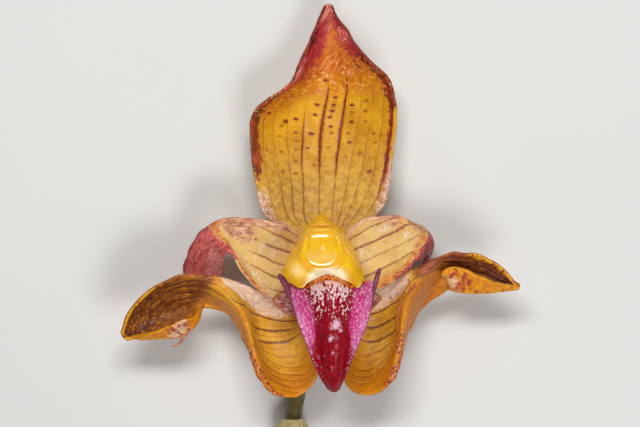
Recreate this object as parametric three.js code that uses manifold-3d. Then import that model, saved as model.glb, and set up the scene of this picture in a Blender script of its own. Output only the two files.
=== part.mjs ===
// One open bloom of a bulbophyllum orchid, cut with a length of its stem and laid on its back.
// Millimetres. +Z points up and out of the open face, +Y runs up the dorsal sepal, and the stem
// lies along -Y. The origin is under the middle of the bloom, on the surface that it lies on.
import * as THREE from 'three';
import { mergeVertices } from 'three/addons/utils/BufferGeometryUtils.js';
import Module from 'manifold-3d';

const wasm = await Module();
wasm.setup();

// Driving dimensions
const BLADE = 0.8; // thickness of the sepals and petals
const LIP_EDGE = 0.8; // thickness of the lip at its sides
const LIP_KEEL = 1.1; // extra thickness of the lip along its middle
const STEM_LENGTH = 49.4; // from under the bloom to the cut, as far as the dorsal sepal reaches
const SCAPE_RADIUS = 1.8;
const PEDICEL_RADIUS = 1.6;
const OVARY_RADIUS = 1.9;
const RIBS = 6;
const RIB_HEIGHT = 0.12;
const RECEPTACLE_RADIUS = 3.7;
const RECEPTACLE_TOP = 9.3; // height of the seat that the sepals, petals and column stand on
// Where the stem changes from one radius to the next, as shares of its length from the bloom
const FLARE_ENDS = [0.03, 0.2];
const OVARY_ENDS = [0.4, 0.6];
const RIBS_END = [0.45, 0.65];
const SCAPE_STARTS = [0.8, 0.84];
const HORN_RADIUS = [0.6, 0.35]; // at the root and near the point
// The bract: where it starts and ends along the stem, how far it stands off, how far round it goes,
// and the rows and columns of its net, as shares of its length and of half its turn
const BRACT = {
  from: 0.825, to: 0.72, radius: [2.65, 3.4], halfTurn: 2.2,
  rows: [0, 0.25, 0.5, 0.75, 0.96], columns: [-1, -0.6, -0.2, 0.2, 0.6, 1],
};

// Steps between neighbouring points of a net, along a blade and across it
const STEPS_ALONG = 2;
const STEPS_ACROSS = 3;
const TONGUE_STEPS = [3, 4];
const LOBE_STEPS = [3, 3];
const LINE_STEPS = 3;
const STEM_SIDES = 18;
const HORN_SIDES = 8;
const COLUMN_SIDES = 36;
const CAP_SIDES = 24;

// Each net is a grid of points x, y, z on the middle surface of a blade. Its rows go from the base
// to the tip, and each row crosses the blade from one margin to the other.
const DORSAL_SEPAL = [
  [-1.6, 3.6, 9.8, -0.5, 3.6, 9.7, 0.7, 3.6, 9.7, 1.8, 3.6, 9.7, 2.9, 3.6, 9.8],
  [-5.7, 5.7, 9.4, -2.6, 5.8, 8.9, 0.7, 5.8, 8.8, 3.9, 5.8, 8.9, 6.8, 6.1, 9.4],
  [-10.9, 8.9, 9.6, -5.2, 9.1, 7.6, 0.4, 9.3, 7.0, 5.9, 9.5, 7.6, 11.0, 9.7, 9.3],
  [-12.5, 14.7, 9.0, -6.1, 14.9, 5.6, 0.4, 15.1, 4.7, 6.9, 15.1, 5.5, 13.0, 14.9, 8.5],
  [-13.4, 21.1, 8.5, -6.8, 21.2, 3.6, 0.3, 21.2, 2.1, 7.5, 21.2, 3.6, 14.0, 21.1, 8.0],
  [-13.7, 25.7, 8.5, -7.0, 26.3, 2.4, 0.3, 26.7, 0.3, 7.7, 26.7, 2.4, 14.7, 26.5, 7.5],
  [-12.6, 28.9, 9.5, -6.4, 30.4, 2.6, 0.5, 31.3, 0.1, 7.7, 31.4, 2.5, 14.5, 31.3, 8.0],
  [-9.9, 31.4, 10.0, -5.0, 33.3, 3.8, 0.7, 34.6, 0.9, 6.7, 35.0, 3.6, 13.0, 35.5, 9.0],
  [-5.9, 34.1, 9.5, -2.7, 36.5, 5.0, 1.0, 38.0, 2.8, 5.1, 38.4, 5.0, 9.1, 39.1, 9.5],
  [-4.0, 38.4, 8.5, -1.5, 40.3, 6.0, 1.2, 41.4, 5.0, 3.9, 41.9, 6.2, 6.6, 42.2, 8.5],
  [-2.3, 42.3, 8.0, -0.5, 43.9, 7.0, 1.3, 44.7, 6.6, 3.2, 45.1, 7.1, 4.9, 45.0, 8.0],
  [-0.3, 46.5, 8.6, 0.4, 47.1, 8.3, 1.4, 47.5, 8.2, 2.4, 47.7, 8.3, 3.1, 47.3, 8.6],
  [1.0, 49.1, 9.8, 1.2, 49.3, 9.8, 1.5, 49.4, 9.8, 1.8, 49.3, 9.8, 2.0, 49.1, 9.8],
];
const PETAL_LEFT = [
  [-2.6, 3.2, 10.1, -3.0, 1.8, 10.1, -3.1, 0.2, 10.1, -3.0, -1.4, 10.2, -2.6, -2.8, 10.4],
  [-5.1, 6.1, 11.5, -5.9, 3.0, 11.0, -6.1, -0.1, 10.8, -5.7, -3.3, 11.2, -5.1, -5.8, 11.8],
  [-8.3, 7.4, 12.5, -9.5, 4.0, 11.8, -9.9, 0.3, 11.5, -9.7, -3.5, 11.8, -8.7, -7.1, 12.6],
  [-12.0, 8.2, 13.0, -13.1, 5.3, 12.3, -13.7, 2.2, 12.0, -13.5, -1.0, 12.6, -12.3, -4.9, 13.8],
  [-15.6, 8.5, 13.4, -16.5, 6.4, 13.0, -16.9, 4.2, 13.0, -16.5, 1.9, 13.8, -14.9, -1.8, 15.5],
  [-18.5, 8.4, 13.0, -19.0, 6.8, 13.2, -19.0, 5.3, 13.6, -18.2, 3.6, 14.5, -16.5, 1.2, 15.8],
  [-21.0, 7.2, 12.0, -20.8, 5.9, 12.8, -20.3, 4.6, 13.4, -19.4, 3.2, 14.0, -17.8, 1.5, 14.2],
  [-23.3, 5.7, 10.0, -22.6, 4.5, 11.0, -21.6, 3.4, 11.6, -20.2, 2.2, 11.8, -18.5, 0.8, 11.4],
  [-25.1, 2.9, 7.6, -24.0, 2.2, 8.5, -22.5, 1.4, 9.0, -20.7, 0.6, 9.0, -18.7, -0.5, 8.6],
  [-26.5, -0.2, 5.0, -25.1, -0.8, 6.0, -23.2, -1.2, 6.5, -21.0, -1.7, 6.4, -18.9, -2.2, 6.0],
  [-26.7, -3.0, 2.8, -25.3, -3.5, 3.6, -23.3, -3.9, 4.0, -21.3, -4.0, 4.0, -19.7, -3.9, 3.6],
  [-25.8, -5.4, 1.2, -24.8, -5.8, 1.7, -23.3, -6.1, 1.9, -21.9, -5.9, 1.8, -20.9, -5.4, 1.5],
  [-24.0, -7.3, 0.2, -23.7, -7.5, 0.2, -23.3, -7.6, 0.2, -22.9, -7.5, 0.2, -22.6, -7.3, 0.2],
];
const PETAL_RIGHT = [
  [3.4, 3.2, 10.1, 3.8, 1.8, 10.1, 4.0, 0.2, 10.1, 3.8, -1.4, 10.2, 3.4, -2.8, 10.4],
  [5.6, 6.4, 11.5, 6.4, 3.6, 11.0, 6.6, 0.7, 10.8, 6.6, -2.0, 11.2, 6.0, -4.7, 11.8],
  [8.3, 8.2, 12.0, 9.1, 5.3, 11.4, 9.7, 2.0, 11.0, 10.0, -1.4, 11.4, 10.2, -5.3, 12.4],
  [11.6, 8.8, 12.0, 12.6, 6.3, 11.6, 13.1, 3.4, 11.4, 13.5, 0.2, 12.1, 13.4, -4.1, 13.7],
  [14.7, 8.9, 11.5, 15.6, 6.8, 11.8, 16.4, 4.3, 11.8, 16.7, 1.7, 12.6, 16.0, -2.0, 14.6],
  [17.2, 7.7, 10.8, 18.1, 6.2, 11.6, 18.7, 4.5, 12.0, 18.8, 2.4, 12.6, 17.7, -0.2, 13.9],
  [19.2, 6.9, 9.5, 20.1, 5.6, 10.6, 20.5, 4.2, 11.0, 20.4, 2.7, 10.8, 19.5, 0.8, 10.8],
  [20.8, 5.4, 7.4, 21.4, 4.2, 8.2, 21.6, 3.0, 8.4, 21.3, 1.8, 8.2, 20.5, 0.5, 7.8],
  [21.1, 3.5, 4.6, 21.7, 2.2, 5.2, 21.6, 1.0, 5.5, 21.0, -0.3, 5.4, 20.2, -1.5, 5.2],
  [20.7, 1.2, 2.2, 21.0, 0.0, 2.7, 20.7, -1.1, 2.9, 20.1, -2.1, 2.8, 19.4, -2.9, 2.6],
  [19.5, -2.1, 0.5, 19.6, -2.4, 0.5, 19.4, -2.8, 0.5, 19.1, -3.1, 0.5, 18.8, -3.3, 0.5],
];
const LATERAL_SEPAL_LEFT = [
  [-0.7, -4.4, 10.4, -0.6, -6.1, 10.4, -0.4, -8.0, 10.5,
    -0.2, -9.9, 10.5, 0.0, -11.8, 10.8, 0.2, -13.5, 11.0],
  [-4.0, -5.5, 9.4, -3.8, -7.4, 8.9, -3.4, -10.0, 8.3,
    -2.6, -13.1, 8.0, -1.5, -16.1, 9.0, -0.1, -18.9, 11.0],
  [-7.1, -6.3, 9.2, -7.3, -8.4, 8.2, -7.1, -11.4, 7.2,
    -6.3, -15.5, 6.8, -4.6, -19.6, 8.0, -1.3, -23.2, 12.0],
  [-9.4, -6.3, 9.8, -10.0, -8.2, 8.7, -10.4, -11.2, 7.4,
    -10.0, -15.6, 7.0, -8.4, -20.6, 8.5, -4.5, -25.6, 13.0],
  [-11.3, -5.8, 10.6, -12.0, -7.6, 9.9, -12.5, -10.1, 9.0,
    -12.3, -14.0, 8.8, -11.1, -18.9, 10.5, -8.3, -25.5, 14.5],
  [-13.0, -5.0, 11.6, -13.7, -6.8, 11.5, -13.9, -8.7, 11.5,
    -13.5, -11.5, 12.0, -12.7, -15.8, 13.8, -11.1, -23.1, 15.5],
  [-14.7, -4.3, 12.6, -15.2, -5.8, 13.0, -15.2, -7.3, 13.4,
    -14.6, -9.5, 14.3, -13.6, -13.7, 14.5, -12.7, -19.8, 14.0],
  [-16.7, -3.5, 13.6, -17.1, -4.8, 14.2, -16.9, -6.1, 14.8,
    -16.1, -8.4, 15.0, -15.2, -11.5, 13.0, -14.1, -16.2, 11.5],
  [-19.2, -2.8, 14.5, -19.3, -4.0, 15.0, -19.1, -5.3, 15.0,
    -18.6, -7.3, 13.6, -17.9, -9.1, 11.2, -17.6, -10.3, 9.6],
  [-21.8, -2.4, 15.6, -22.0, -3.6, 15.0, -22.1, -5.2, 13.4,
    -22.1, -6.7, 11.2, -22.2, -8.0, 9.9, -22.6, -9.0, 9.7],
  [-24.9, -2.3, 16.2, -25.2, -4.0, 14.0, -25.4, -6.2, 11.2,
    -25.2, -8.8, 9.6, -24.0, -12.0, 12.0, -23.8, -10.1, 14.0],
  [-28.1, -3.0, 16.5, -28.6, -5.0, 13.3, -29.0, -7.2, 10.4,
    -29.0, -10.2, 9.2, -26.9, -14.1, 12.4, -25.9, -10.7, 16.2],
  [-31.3, -4.5, 16.5, -31.9, -6.3, 13.2, -32.3, -8.5, 10.6,
    -32.3, -11.4, 9.6, -30.7, -14.5, 12.2, -29.1, -12.2, 15.6],
  [-34.4, -6.9, 15.6, -34.8, -8.6, 13.0, -34.9, -10.6, 10.8,
    -34.8, -12.8, 10.2, -33.9, -14.7, 12.0, -32.4, -13.5, 14.3],
  [-36.9, -10.3, 14.4, -37.0, -11.5, 12.8, -36.8, -12.8, 11.6,
    -36.3, -13.9, 11.2, -35.8, -14.5, 11.8, -34.8, -14.2, 12.8],
  [-38.1, -13.3, 13.1, -38.1, -13.7, 12.8, -38.0, -14.1, 12.5,
    -37.8, -14.4, 12.3, -37.4, -14.7, 12.3, -36.9, -14.9, 12.5],
];
const LATERAL_SEPAL_RIGHT = [
  [3.0, -4.4, 10.4, 2.9, -6.1, 10.4, 2.8, -8.0, 10.5,
    2.7, -9.9, 10.5, 2.6, -11.8, 10.8, 2.6, -13.5, 11.0],
  [5.4, -5.1, 9.4, 5.6, -7.1, 8.9, 5.8, -9.6, 8.3, 5.5, -12.9, 8.0, 4.9, -16.1, 9.0, 3.7, -18.9, 11.0],
  [8.3, -5.3, 9.2, 8.9, -7.5, 8.2, 9.1, -10.4, 7.2, 9.0, -14.7, 6.8, 7.8, -19.2, 8.0, 4.8, -23.4, 12.0],
  [10.6, -4.9, 9.8, 11.4, -6.9, 8.7, 12.0, -9.8, 7.4,
    12.0, -14.5, 7.0, 11.0, -20.0, 8.5, 7.7, -25.4, 13.0],
  [12.5, -4.1, 10.6, 13.5, -5.9, 9.9, 14.1, -8.4, 9.2,
    14.2, -12.6, 9.0, 13.5, -18.1, 10.5, 10.9, -24.9, 14.5],
  [14.0, -3.3, 11.6, 14.9, -4.9, 11.5, 15.4, -7.0, 11.7,
    15.3, -10.4, 12.3, 15.1, -15.3, 14.0, 13.2, -23.1, 15.5],
  [15.5, -2.4, 12.4, 16.4, -3.8, 12.9, 16.6, -5.2, 13.4,
    16.1, -7.8, 14.3, 15.7, -12.6, 13.5, 14.9, -19.5, 13.5],
  [17.4, -1.4, 13.4, 18.1, -2.5, 14.0, 18.3, -3.6, 14.4,
    17.9, -5.9, 14.2, 17.0, -9.8, 12.5, 16.0, -15.6, 11.0],
  [19.5, -0.3, 14.6, 20.0, -1.3, 14.8, 20.2, -2.5, 14.2,
    19.9, -4.5, 12.3, 19.1, -7.4, 10.5, 17.6, -11.7, 8.5],
  [21.7, 0.9, 15.2, 22.1, -0.2, 14.8, 22.4, -1.4, 13.2,
    22.3, -3.2, 10.8, 21.6, -5.3, 9.0, 20.0, -8.5, 7.5],
  [24.2, 1.5, 15.6, 24.4, 0.4, 14.2, 24.7, -1.0, 12.0,
    24.6, -2.8, 10.2, 24.1, -5.1, 9.6, 24.9, -4.9, 8.8],
  [26.6, 1.7, 15.6, 26.9, 0.5, 13.8, 27.1, -0.8, 11.8,
    26.9, -3.2, 10.8, 26.2, -5.6, 12.2, 23.1, -1.9, 15.8],
  [29.5, 1.5, 15.2, 29.6, 0.4, 13.5, 29.6, -1.1, 11.8,
    29.4, -3.3, 10.8, 28.7, -5.8, 12.2, 26.2, -1.0, 15.8],
  [32.2, 0.5, 14.6, 32.3, -0.7, 13.0, 32.3, -2.0, 11.8,
    32.1, -3.7, 11.2, 31.4, -5.8, 12.5, 29.9, -2.6, 15.4],
  [34.9, -1.5, 13.8, 34.9, -2.3, 12.8, 34.8, -3.3, 12.2,
    34.5, -4.5, 12.0, 34.1, -5.5, 12.6, 33.4, -4.0, 14.2],
  [37.8, -4.6, 12.9, 37.9, -4.7, 12.8, 38.0, -4.8, 12.7,
    38.0, -4.9, 12.7, 37.9, -5.0, 12.8, 37.8, -5.0, 12.9],
];
const LIP = [
  [0.1, -12.0, 12.6, 0.9, -12.0, 12.7, 1.4, -12.0, 12.7, 1.9, -12.0, 12.7, 2.7, -12.0, 12.6],
  [-0.7, -8.4, 15.2, 0.4, -8.4, 15.5, 1.4, -8.4, 15.6, 2.5, -8.4, 15.5, 3.7, -8.4, 15.2],
  [-1.9, -5.4, 18.0, -0.3, -5.3, 18.5, 1.4, -5.2, 18.8, 3.2, -5.3, 18.5, 4.9, -5.4, 18.0],
  [-3.0, -4.8, 18.6, -0.9, -4.3, 20.2, 1.4, -3.8, 21.5, 3.8, -4.3, 20.2, 5.9, -4.8, 18.6],
  [-6.3, -4.3, 18.0, -2.6, -5.4, 20.9, 1.6, -4.2, 24.2, 6.0, -5.4, 20.9, 9.8, -3.7, 18.0],
  [-5.5, -6.8, 20.4, -2.1, -7.2, 22.9, 1.9, -6.8, 25.3, 6.0, -7.2, 22.9, 9.7, -6.6, 20.4],
  [-4.3, -11.1, 23.2, -1.3, -11.2, 23.2, 2.2, -11.2, 25.4, 5.8, -11.2, 23.2, 8.9, -10.8, 23.2],
  [-2.8, -15.0, 24.0, -0.4, -15.2, 23.1, 2.4, -15.2, 24.8, 5.3, -15.2, 23.1, 7.3, -14.8, 24.0],
  [-1.4, -18.8, 23.4, 0.4, -19.0, 22.4, 2.4, -19.1, 23.5, 4.4, -19.0, 22.4, 5.6, -18.6, 23.4],
  [0.0, -21.8, 21.8, 1.1, -22.0, 21.3, 2.4, -22.1, 21.8, 3.6, -22.0, 21.3, 4.5, -21.7, 21.8],
  [1.3, -23.6, 19.8, 1.8, -23.8, 19.7, 2.5, -23.9, 19.7, 3.1, -23.8, 19.7, 3.6, -23.6, 19.8],
];
const LIP_LOBE_LEFT = [
  [-0.2, -5.9, 17.5, 0.1, -7.4, 16.1, 0.2, -8.9, 14.9, 0.4, -10.4, 13.8],
  [-5.2, -5.5, 17.8, -5.6, -7.0, 17.3, -4.6, -8.7, 16.5, -3.0, -10.4, 15.3],
  [-7.4, -5.6, 17.8, -9.1, -7.0, 17.4, -7.8, -8.9, 16.9, -4.9, -10.8, 15.9],
];
const LIP_LOBE_RIGHT = [
  [3.0, -5.9, 17.5, 2.8, -7.4, 16.1, 2.6, -8.9, 14.9, 2.4, -10.4, 13.8],
  [8.4, -5.8, 17.6, 8.8, -7.0, 17.1, 7.9, -8.5, 16.4, 6.0, -10.4, 15.3],
  [10.6, -5.9, 17.6, 11.5, -6.8, 17.2, 10.6, -8.1, 16.8, 8.2, -10.6, 15.9],
];

// The middle line of the stem, from the seat under the bloom to the cut end
const STEM_LINE = [
  [0.4, -0.4, RECEPTACLE_TOP], [0.4, -0.5, 8.6], [0.4, -0.8, 7.6], [0.3, -2.0, 6.0],
  [0.0, -5.0, 4.6], [-1.0, -9.5, 3.9], [-2.6, -16.0, 2.7], [-4.2, -24.0, 2.2],
  [-5.4, -31.0, 2.6], [-5.7, -37.5, 2.4], [-4.9, -43.0, 1.8], [-3.4, -STEM_LENGTH, 1.7],
];

// The rim of the column seen from in front: the beak, down the left wing, along the arched lower
// edge and up the right wing
const COLUMN_RIM = [
  [0.1, 9.2, 17.7], [-2.3, 7.3, 18.2], [-3.8, 5.3, 18.4], [-5.0, 3.0, 18.6], [-6.4, 0.3, 19.4],
  [-7.1, -1.6, 20.8], [-6.6, -3.6, 21.9], [-3.8, -4.8, 22.3], [-1.9, -3.5, 21.3], [1.2, -2.4, 20.9],
  [5.2, -3.6, 21.6], [7.0, -4.7, 22.1], [8.0, -3.1, 21.2], [8.0, -1.7, 20.6], [7.1, 0.7, 19.4],
  [5.7, 3.4, 18.6], [4.1, 5.9, 18.4], [2.3, 7.5, 18.2],
];
const COLUMN_MIDDLE = new THREE.Vector3(0.4, 1.6, 20.7);
// The column's foot, seen from above, is a keyhole: a round heel with a long narrow sole below it
const COLUMN_SEAT = 9.65;
const FOOT = {
  x: 0.5, y: 0.4, radius: [2.3, 2.4], soleLength: 10.3, soleLean: 0.8, waist: 0.35, top: 11.4,
};
const ANKLE = { x: 0.6, halfWidth: 2.6, above: 3.2, below: 7.0, z: 13.6 };
const NECK = { x: 0.5, halfWidth: 3.2, above: 4.6, below: 4.6, z: 16.4 };
// Rings below the rim: their share of its size and how far they lie under it
const UNDERSIDE = [[0.72, 2.3], [0.97, 0.9]];
// Rings of the front: their share of the rim's size and of the climb from it to the cap's seat
const CAP_SEAT = 21.0;
const FRONT = [[0.85, 0.7], [0.68, 1]];

const ANTHER_CAP = { width: 6.6, height: 7.0, depth: 2.6, at: [0.15, 3.1, CAP_SEAT + 0.3] };
const CAP_SQUARENESS = 0.8; // 1 is an oval, and less is closer to a square
// Rings of the cap: their share of its size and of its depth
const CAP_RINGS = [[0.93, 0], [1, 0.25], [0.93, 0.6], [0.72, 0.88], [0.35, 1]];

const HORN_LEFT = [[-5.4, -5.2, 18.9], [-6.7, -4.0, 18.6], [-7.5, -2.8, 18.9], [-8.0, -2.2, 19.4]];
const HORN_RIGHT = [[8.9, -5.2, 18.9], [9.9, -3.8, 18.6], [10.6, -2.4, 18.9], [11.2, -1.1, 19.6]];

// A smooth curve through the points, sampled with the given number of steps from each to the next
function smooth(points, steps) {
  const curve = new THREE.CatmullRomCurve3(points, false, 'catmullrom');
  const count = (points.length - 1) * steps;
  return Array.from({ length: count + 1 }, (_, i) => curve.getPoint(i / count));
}

function smoothLoop(points, count) {
  const curve = new THREE.CatmullRomCurve3(points, true, 'catmullrom');
  return Array.from({ length: count }, (_, i) => curve.getPoint(i / count));
}

function netPoints(row) {
  const points = [];
  for (let i = 0; i < row.length; i += 3) points.push(new THREE.Vector3(...row.slice(i, i + 3)));
  return points;
}

// The net's surface as rows of points: smooth across each row, then along the blade
function surface(net, along = STEPS_ALONG, across = STEPS_ACROSS) {
  const rows = net.map((row) => smooth(netPoints(row), across));
  const lines = rows[0].map((_, j) => smooth(rows.map((row) => row[j]), along));
  return lines[0].map((_, i) => lines.map((line) => line[i]));
}

function surfaceNormal(grid, i, j) {
  const lastRow = grid.length - 1;
  const lastPoint = grid[0].length - 1;
  const along = grid[Math.min(i + 1, lastRow)][j].clone().sub(grid[Math.max(i - 1, 0)][j]);
  const across = grid[i][Math.min(j + 1, lastPoint)].clone().sub(grid[i][Math.max(j - 1, 0)]);
  return across.cross(along).normalize();
}

function geometryFrom(points, faces) {
  const geometry = new THREE.BufferGeometry();
  const coordinates = points.flatMap((p) => p.toArray());
  geometry.setAttribute('position', new THREE.Float32BufferAttribute(coordinates, 3));
  const insideOut = signedVolume(points, faces) < 0;
  geometry.setIndex(faces.flatMap(([a, b, c]) => (insideOut ? [a, c, b] : [a, b, c])));
  return geometry;
}

function signedVolume(points, faces) {
  const scratch = new THREE.Vector3();
  return faces.reduce((sum, [a, b, c]) => (
    sum + points[a].dot(scratch.crossVectors(points[b], points[c]))
  ), 0);
}

// A closed blade round a middle surface. Both faces are split into the same triangles, and nothing
// reaches below the surface that the bloom lies on, so it rests there on small flat spots.
function blade(grid, thickness = () => BLADE) {
  const rows = grid.length;
  const columns = grid[0].length;
  const points = [];
  for (const side of [0.5, -0.5]) {
    for (let i = 0; i < rows; i += 1) {
      for (let j = 0; j < columns; j += 1) {
        const offset = side * thickness(i / (rows - 1), j / (columns - 1));
        const point = grid[i][j].clone().addScaledVector(surfaceNormal(grid, i, j), offset);
        point.z = Math.max(point.z, 0);
        points.push(point);
      }
    }
  }
  const back = rows * columns;
  const at = (i, j) => i * columns + j;
  const faces = [];
  for (let i = 0; i + 1 < rows; i += 1) {
    for (let j = 0; j + 1 < columns; j += 1) {
      const [a, b, c, d] = [at(i, j), at(i, j + 1), at(i + 1, j), at(i + 1, j + 1)];
      faces.push([a, b, c], [b, d, c]);
      faces.push([back + a, back + c, back + b], [back + b, back + c, back + d]);
    }
  }
  const rim = [];
  for (let j = 0; j < columns - 1; j += 1) rim.push(at(0, j));
  for (let i = 0; i < rows - 1; i += 1) rim.push(at(i, columns - 1));
  for (let j = columns - 1; j > 0; j -= 1) rim.push(at(rows - 1, j));
  for (let i = rows - 1; i > 0; i -= 1) rim.push(at(i, 0));
  rim.forEach((a, k) => {
    const b = rim[(k + 1) % rim.length];
    faces.push([a, back + a, b], [b, back + a, back + b]);
  });
  return geometryFrom(points, faces);
}

// A closed body through rings of equal count, with a middle point closing each end
function loft(rings) {
  const count = rings[0].length;
  const points = rings.flat();
  const faces = [];
  for (let k = 0; k + 1 < rings.length; k += 1) {
    for (let i = 0; i < count; i += 1) {
      const next = (i + 1) % count;
      const [a, b] = [k * count + i, k * count + next];
      const [c, d] = [a + count, b + count];
      faces.push([a, b, c], [b, d, c]);
    }
  }
  for (const [ring, flip] of [[0, true], [rings.length - 1, false]]) {
    const middle = rings[ring].reduce((sum, p) => sum.add(p), new THREE.Vector3()).divideScalar(count);
    points.push(middle);
    for (let i = 0; i < count; i += 1) {
      const edge = [ring * count + i, ring * count + ((i + 1) % count)];
      faces.push([points.length - 1, ...(flip ? edge.reverse() : edge)]);
    }
  }
  return geometryFrom(points, faces);
}

// A round bar along a line, with its radius given by how far along and how far round it is
function bar(line, sides, radiusAt, top = Infinity) {
  const side = new THREE.Vector3(1, 0, 0);
  const rings = line.map((point, i) => {
    const ahead = line[Math.min(i + 1, line.length - 1)].clone();
    const along = ahead.sub(line[Math.max(i - 1, 0)]).normalize();
    const across = side.clone().addScaledVector(along, -side.dot(along)).normalize();
    const up = along.clone().cross(across);
    return Array.from({ length: sides }, (_, k) => {
      const angle = (k / sides) * 2 * Math.PI;
      const radius = radiusAt(i / (line.length - 1), angle);
      const rim = point.clone().addScaledVector(across, radius * Math.cos(angle));
      rim.addScaledVector(up, radius * Math.sin(angle));
      rim.z = THREE.MathUtils.clamp(rim.z, 0, top);
      return rim;
    });
  });
  return loft(rings);
}

const linePoints = (list) => list.map((p) => new THREE.Vector3(...p));

function stalk() {
  const line = smooth(linePoints(STEM_LINE), LINE_STEPS);
  const { smoothstep } = THREE.MathUtils;
  return bar(line, STEM_SIDES, (t, angle) => {
    const flare = (RECEPTACLE_RADIUS - OVARY_RADIUS) * (1 - smoothstep(t, ...FLARE_ENDS));
    const pedicel = (PEDICEL_RADIUS - OVARY_RADIUS) * smoothstep(t, ...OVARY_ENDS);
    const scape = (SCAPE_RADIUS - PEDICEL_RADIUS) * smoothstep(t, ...SCAPE_STARTS);
    const ribs = RIB_HEIGHT * Math.cos(RIBS * angle) * (1 - smoothstep(t, ...RIBS_END));
    return OVARY_RADIUS + flare + pedicel + scape + ribs;
  }, RECEPTACLE_TOP);
}

// The bract: a pointed sheath that clasps the stem from above
function bract() {
  const line = new THREE.CatmullRomCurve3(linePoints(STEM_LINE), false, 'catmullrom');
  const rows = BRACT.rows.map((share) => {
    const middle = line.getPoint(THREE.MathUtils.lerp(BRACT.from, BRACT.to, share));
    const radius = THREE.MathUtils.lerp(...BRACT.radius, share ** 2);
    const halfTurn = BRACT.halfTurn * Math.sqrt(1 - share ** 2);
    return BRACT.columns.flatMap((side) => {
      const angle = side * halfTurn;
      return [middle.x + radius * Math.sin(angle), middle.y, middle.z + radius * Math.cos(angle)];
    });
  });
  return blade(surface(rows));
}

// The column: a flat keyhole foot on the seat, a body that leans out over it, thin wings, and a
// front that slopes up from the rim to the cap's seat
function column() {
  const rim = smoothLoop(linePoints(COLUMN_RIM), COLUMN_SIDES);
  const angles = rim.map((p) => Math.atan2(p.y - COLUMN_MIDDLE.y, p.x - COLUMN_MIDDLE.x));
  const keyhole = (z) => angles.map((angle) => {
    const down = Math.max(0, -Math.sin(angle)) ** 3;
    const x = FOOT.radius[0] * Math.cos(angle) * (1 - FOOT.waist * down) + FOOT.soleLean * down;
    const y = FOOT.radius[1] * Math.sin(angle) - FOOT.soleLength * down ** 2;
    return new THREE.Vector3(FOOT.x + x, FOOT.y + y, z);
  });
  const oval = ({ x, halfWidth, above, below, z }) => angles.map((angle) => {
    const reach = Math.sin(angle) > 0 ? above : below;
    return new THREE.Vector3(x + halfWidth * Math.cos(angle), FOOT.y + reach * Math.sin(angle), z);
  });
  const under = ([share, drop]) => rim.map((p) => {
    const q = COLUMN_MIDDLE.clone().lerp(p, share);
    q.z = THREE.MathUtils.lerp(COLUMN_MIDDLE.z, p.z, share) - drop;
    return q;
  });
  const front = ([share, climb]) => rim.map((p) => {
    const q = COLUMN_MIDDLE.clone().lerp(p, share);
    q.z = THREE.MathUtils.lerp(p.z, CAP_SEAT, climb);
    return q;
  });
  return loft([
    keyhole(COLUMN_SEAT), keyhole(FOOT.top), oval(ANKLE), oval(NECK),
    ...UNDERSIDE.map(under), rim, ...FRONT.map(front),
  ]);
}

function antherCap() {
  const { width, height, depth, at } = ANTHER_CAP;
  const square = (value) => Math.sign(value) * Math.abs(value) ** CAP_SQUARENESS;
  return loft(CAP_RINGS.map(([share, rise]) => Array.from({ length: CAP_SIDES }, (_, k) => {
    const angle = (k / CAP_SIDES) * 2 * Math.PI;
    const x = at[0] + (share * width * square(Math.cos(angle))) / 2;
    const y = at[1] + (share * height * square(Math.sin(angle))) / 2;
    return new THREE.Vector3(x, y, at[2] + rise * depth);
  })));
}

function solid(geometry) {
  const bare = new THREE.BufferGeometry();
  bare.setAttribute('position', geometry.getAttribute('position'));
  bare.setIndex(geometry.getIndex());
  const merged = mergeVertices(bare);
  const mesh = new wasm.Mesh({
    numProp: 3,
    vertProperties: new Float32Array(merged.getAttribute('position').array),
    triVerts: new Uint32Array(merged.getIndex().array),
  });
  return new wasm.Manifold(mesh);
}

function fuse(geometries) {
  const mesh = geometries.map(solid).reduce((sum, part) => sum.add(part)).getMesh();
  const geometry = new THREE.BufferGeometry();
  geometry.setAttribute('position', new THREE.Float32BufferAttribute(mesh.vertProperties, 3));
  geometry.setIndex(Array.from(mesh.triVerts));
  return geometry;
}

// The lip: a thick tongue on a narrow claw, with a horn at each upper corner and two side lobes
function lip() {
  const thickness = (u, v) => LIP_EDGE + LIP_KEEL * Math.sin(Math.PI * v) ** 2;
  const tongue = blade(surface(LIP, ...TONGUE_STEPS), thickness);
  const lobes = [LIP_LOBE_LEFT, LIP_LOBE_RIGHT].map((net) => blade(surface(net, ...LOBE_STEPS)));
  const horns = [HORN_LEFT, HORN_RIGHT].map((line) => (
    bar(smooth(linePoints(line), LINE_STEPS), HORN_SIDES, (t) => THREE.MathUtils.lerp(...HORN_RADIUS, t))
  ));
  return fuse([tongue, ...lobes, ...horns]);
}

function finish(color, roughness) {
  return new THREE.MeshStandardMaterial({ color, roughness, metalness: 0 });
}

const GOLD = finish(0xd29a2a, 0.5);
const BUFF = finish(0xdfb878, 0.55);
const AMBER = finish(0xc98a2c, 0.5);
const MAGENTA = finish(0xb0205c, 0.4);
const YELLOW = finish(0xf0bc20, 0.25);
const OLIVE = finish(0x5c5a22, 0.6);

const bloom = new THREE.Group();

function add(name, geometry, material) {
  const mesh = new THREE.Mesh(geometry, material);
  mesh.name = name;
  bloom.add(mesh);
}

add('stalk', stalk(), OLIVE);
add('bract', bract(), OLIVE);
add('dorsal_sepal', blade(surface(DORSAL_SEPAL)), GOLD);
add('petal_left', blade(surface(PETAL_LEFT)), BUFF);
add('petal_right', blade(surface(PETAL_RIGHT)), BUFF);
add('lateral_sepal_left', blade(surface(LATERAL_SEPAL_LEFT)), AMBER);
add('lateral_sepal_right', blade(surface(LATERAL_SEPAL_RIGHT)), AMBER);
add('lip', lip(), MAGENTA);
add('column', column(), YELLOW);
add('anther_cap', antherCap(), YELLOW);

export default bloom;
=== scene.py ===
"""An open bulbophyllum orchid bloom with its cut stem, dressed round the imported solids."""
from types import SimpleNamespace

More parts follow.
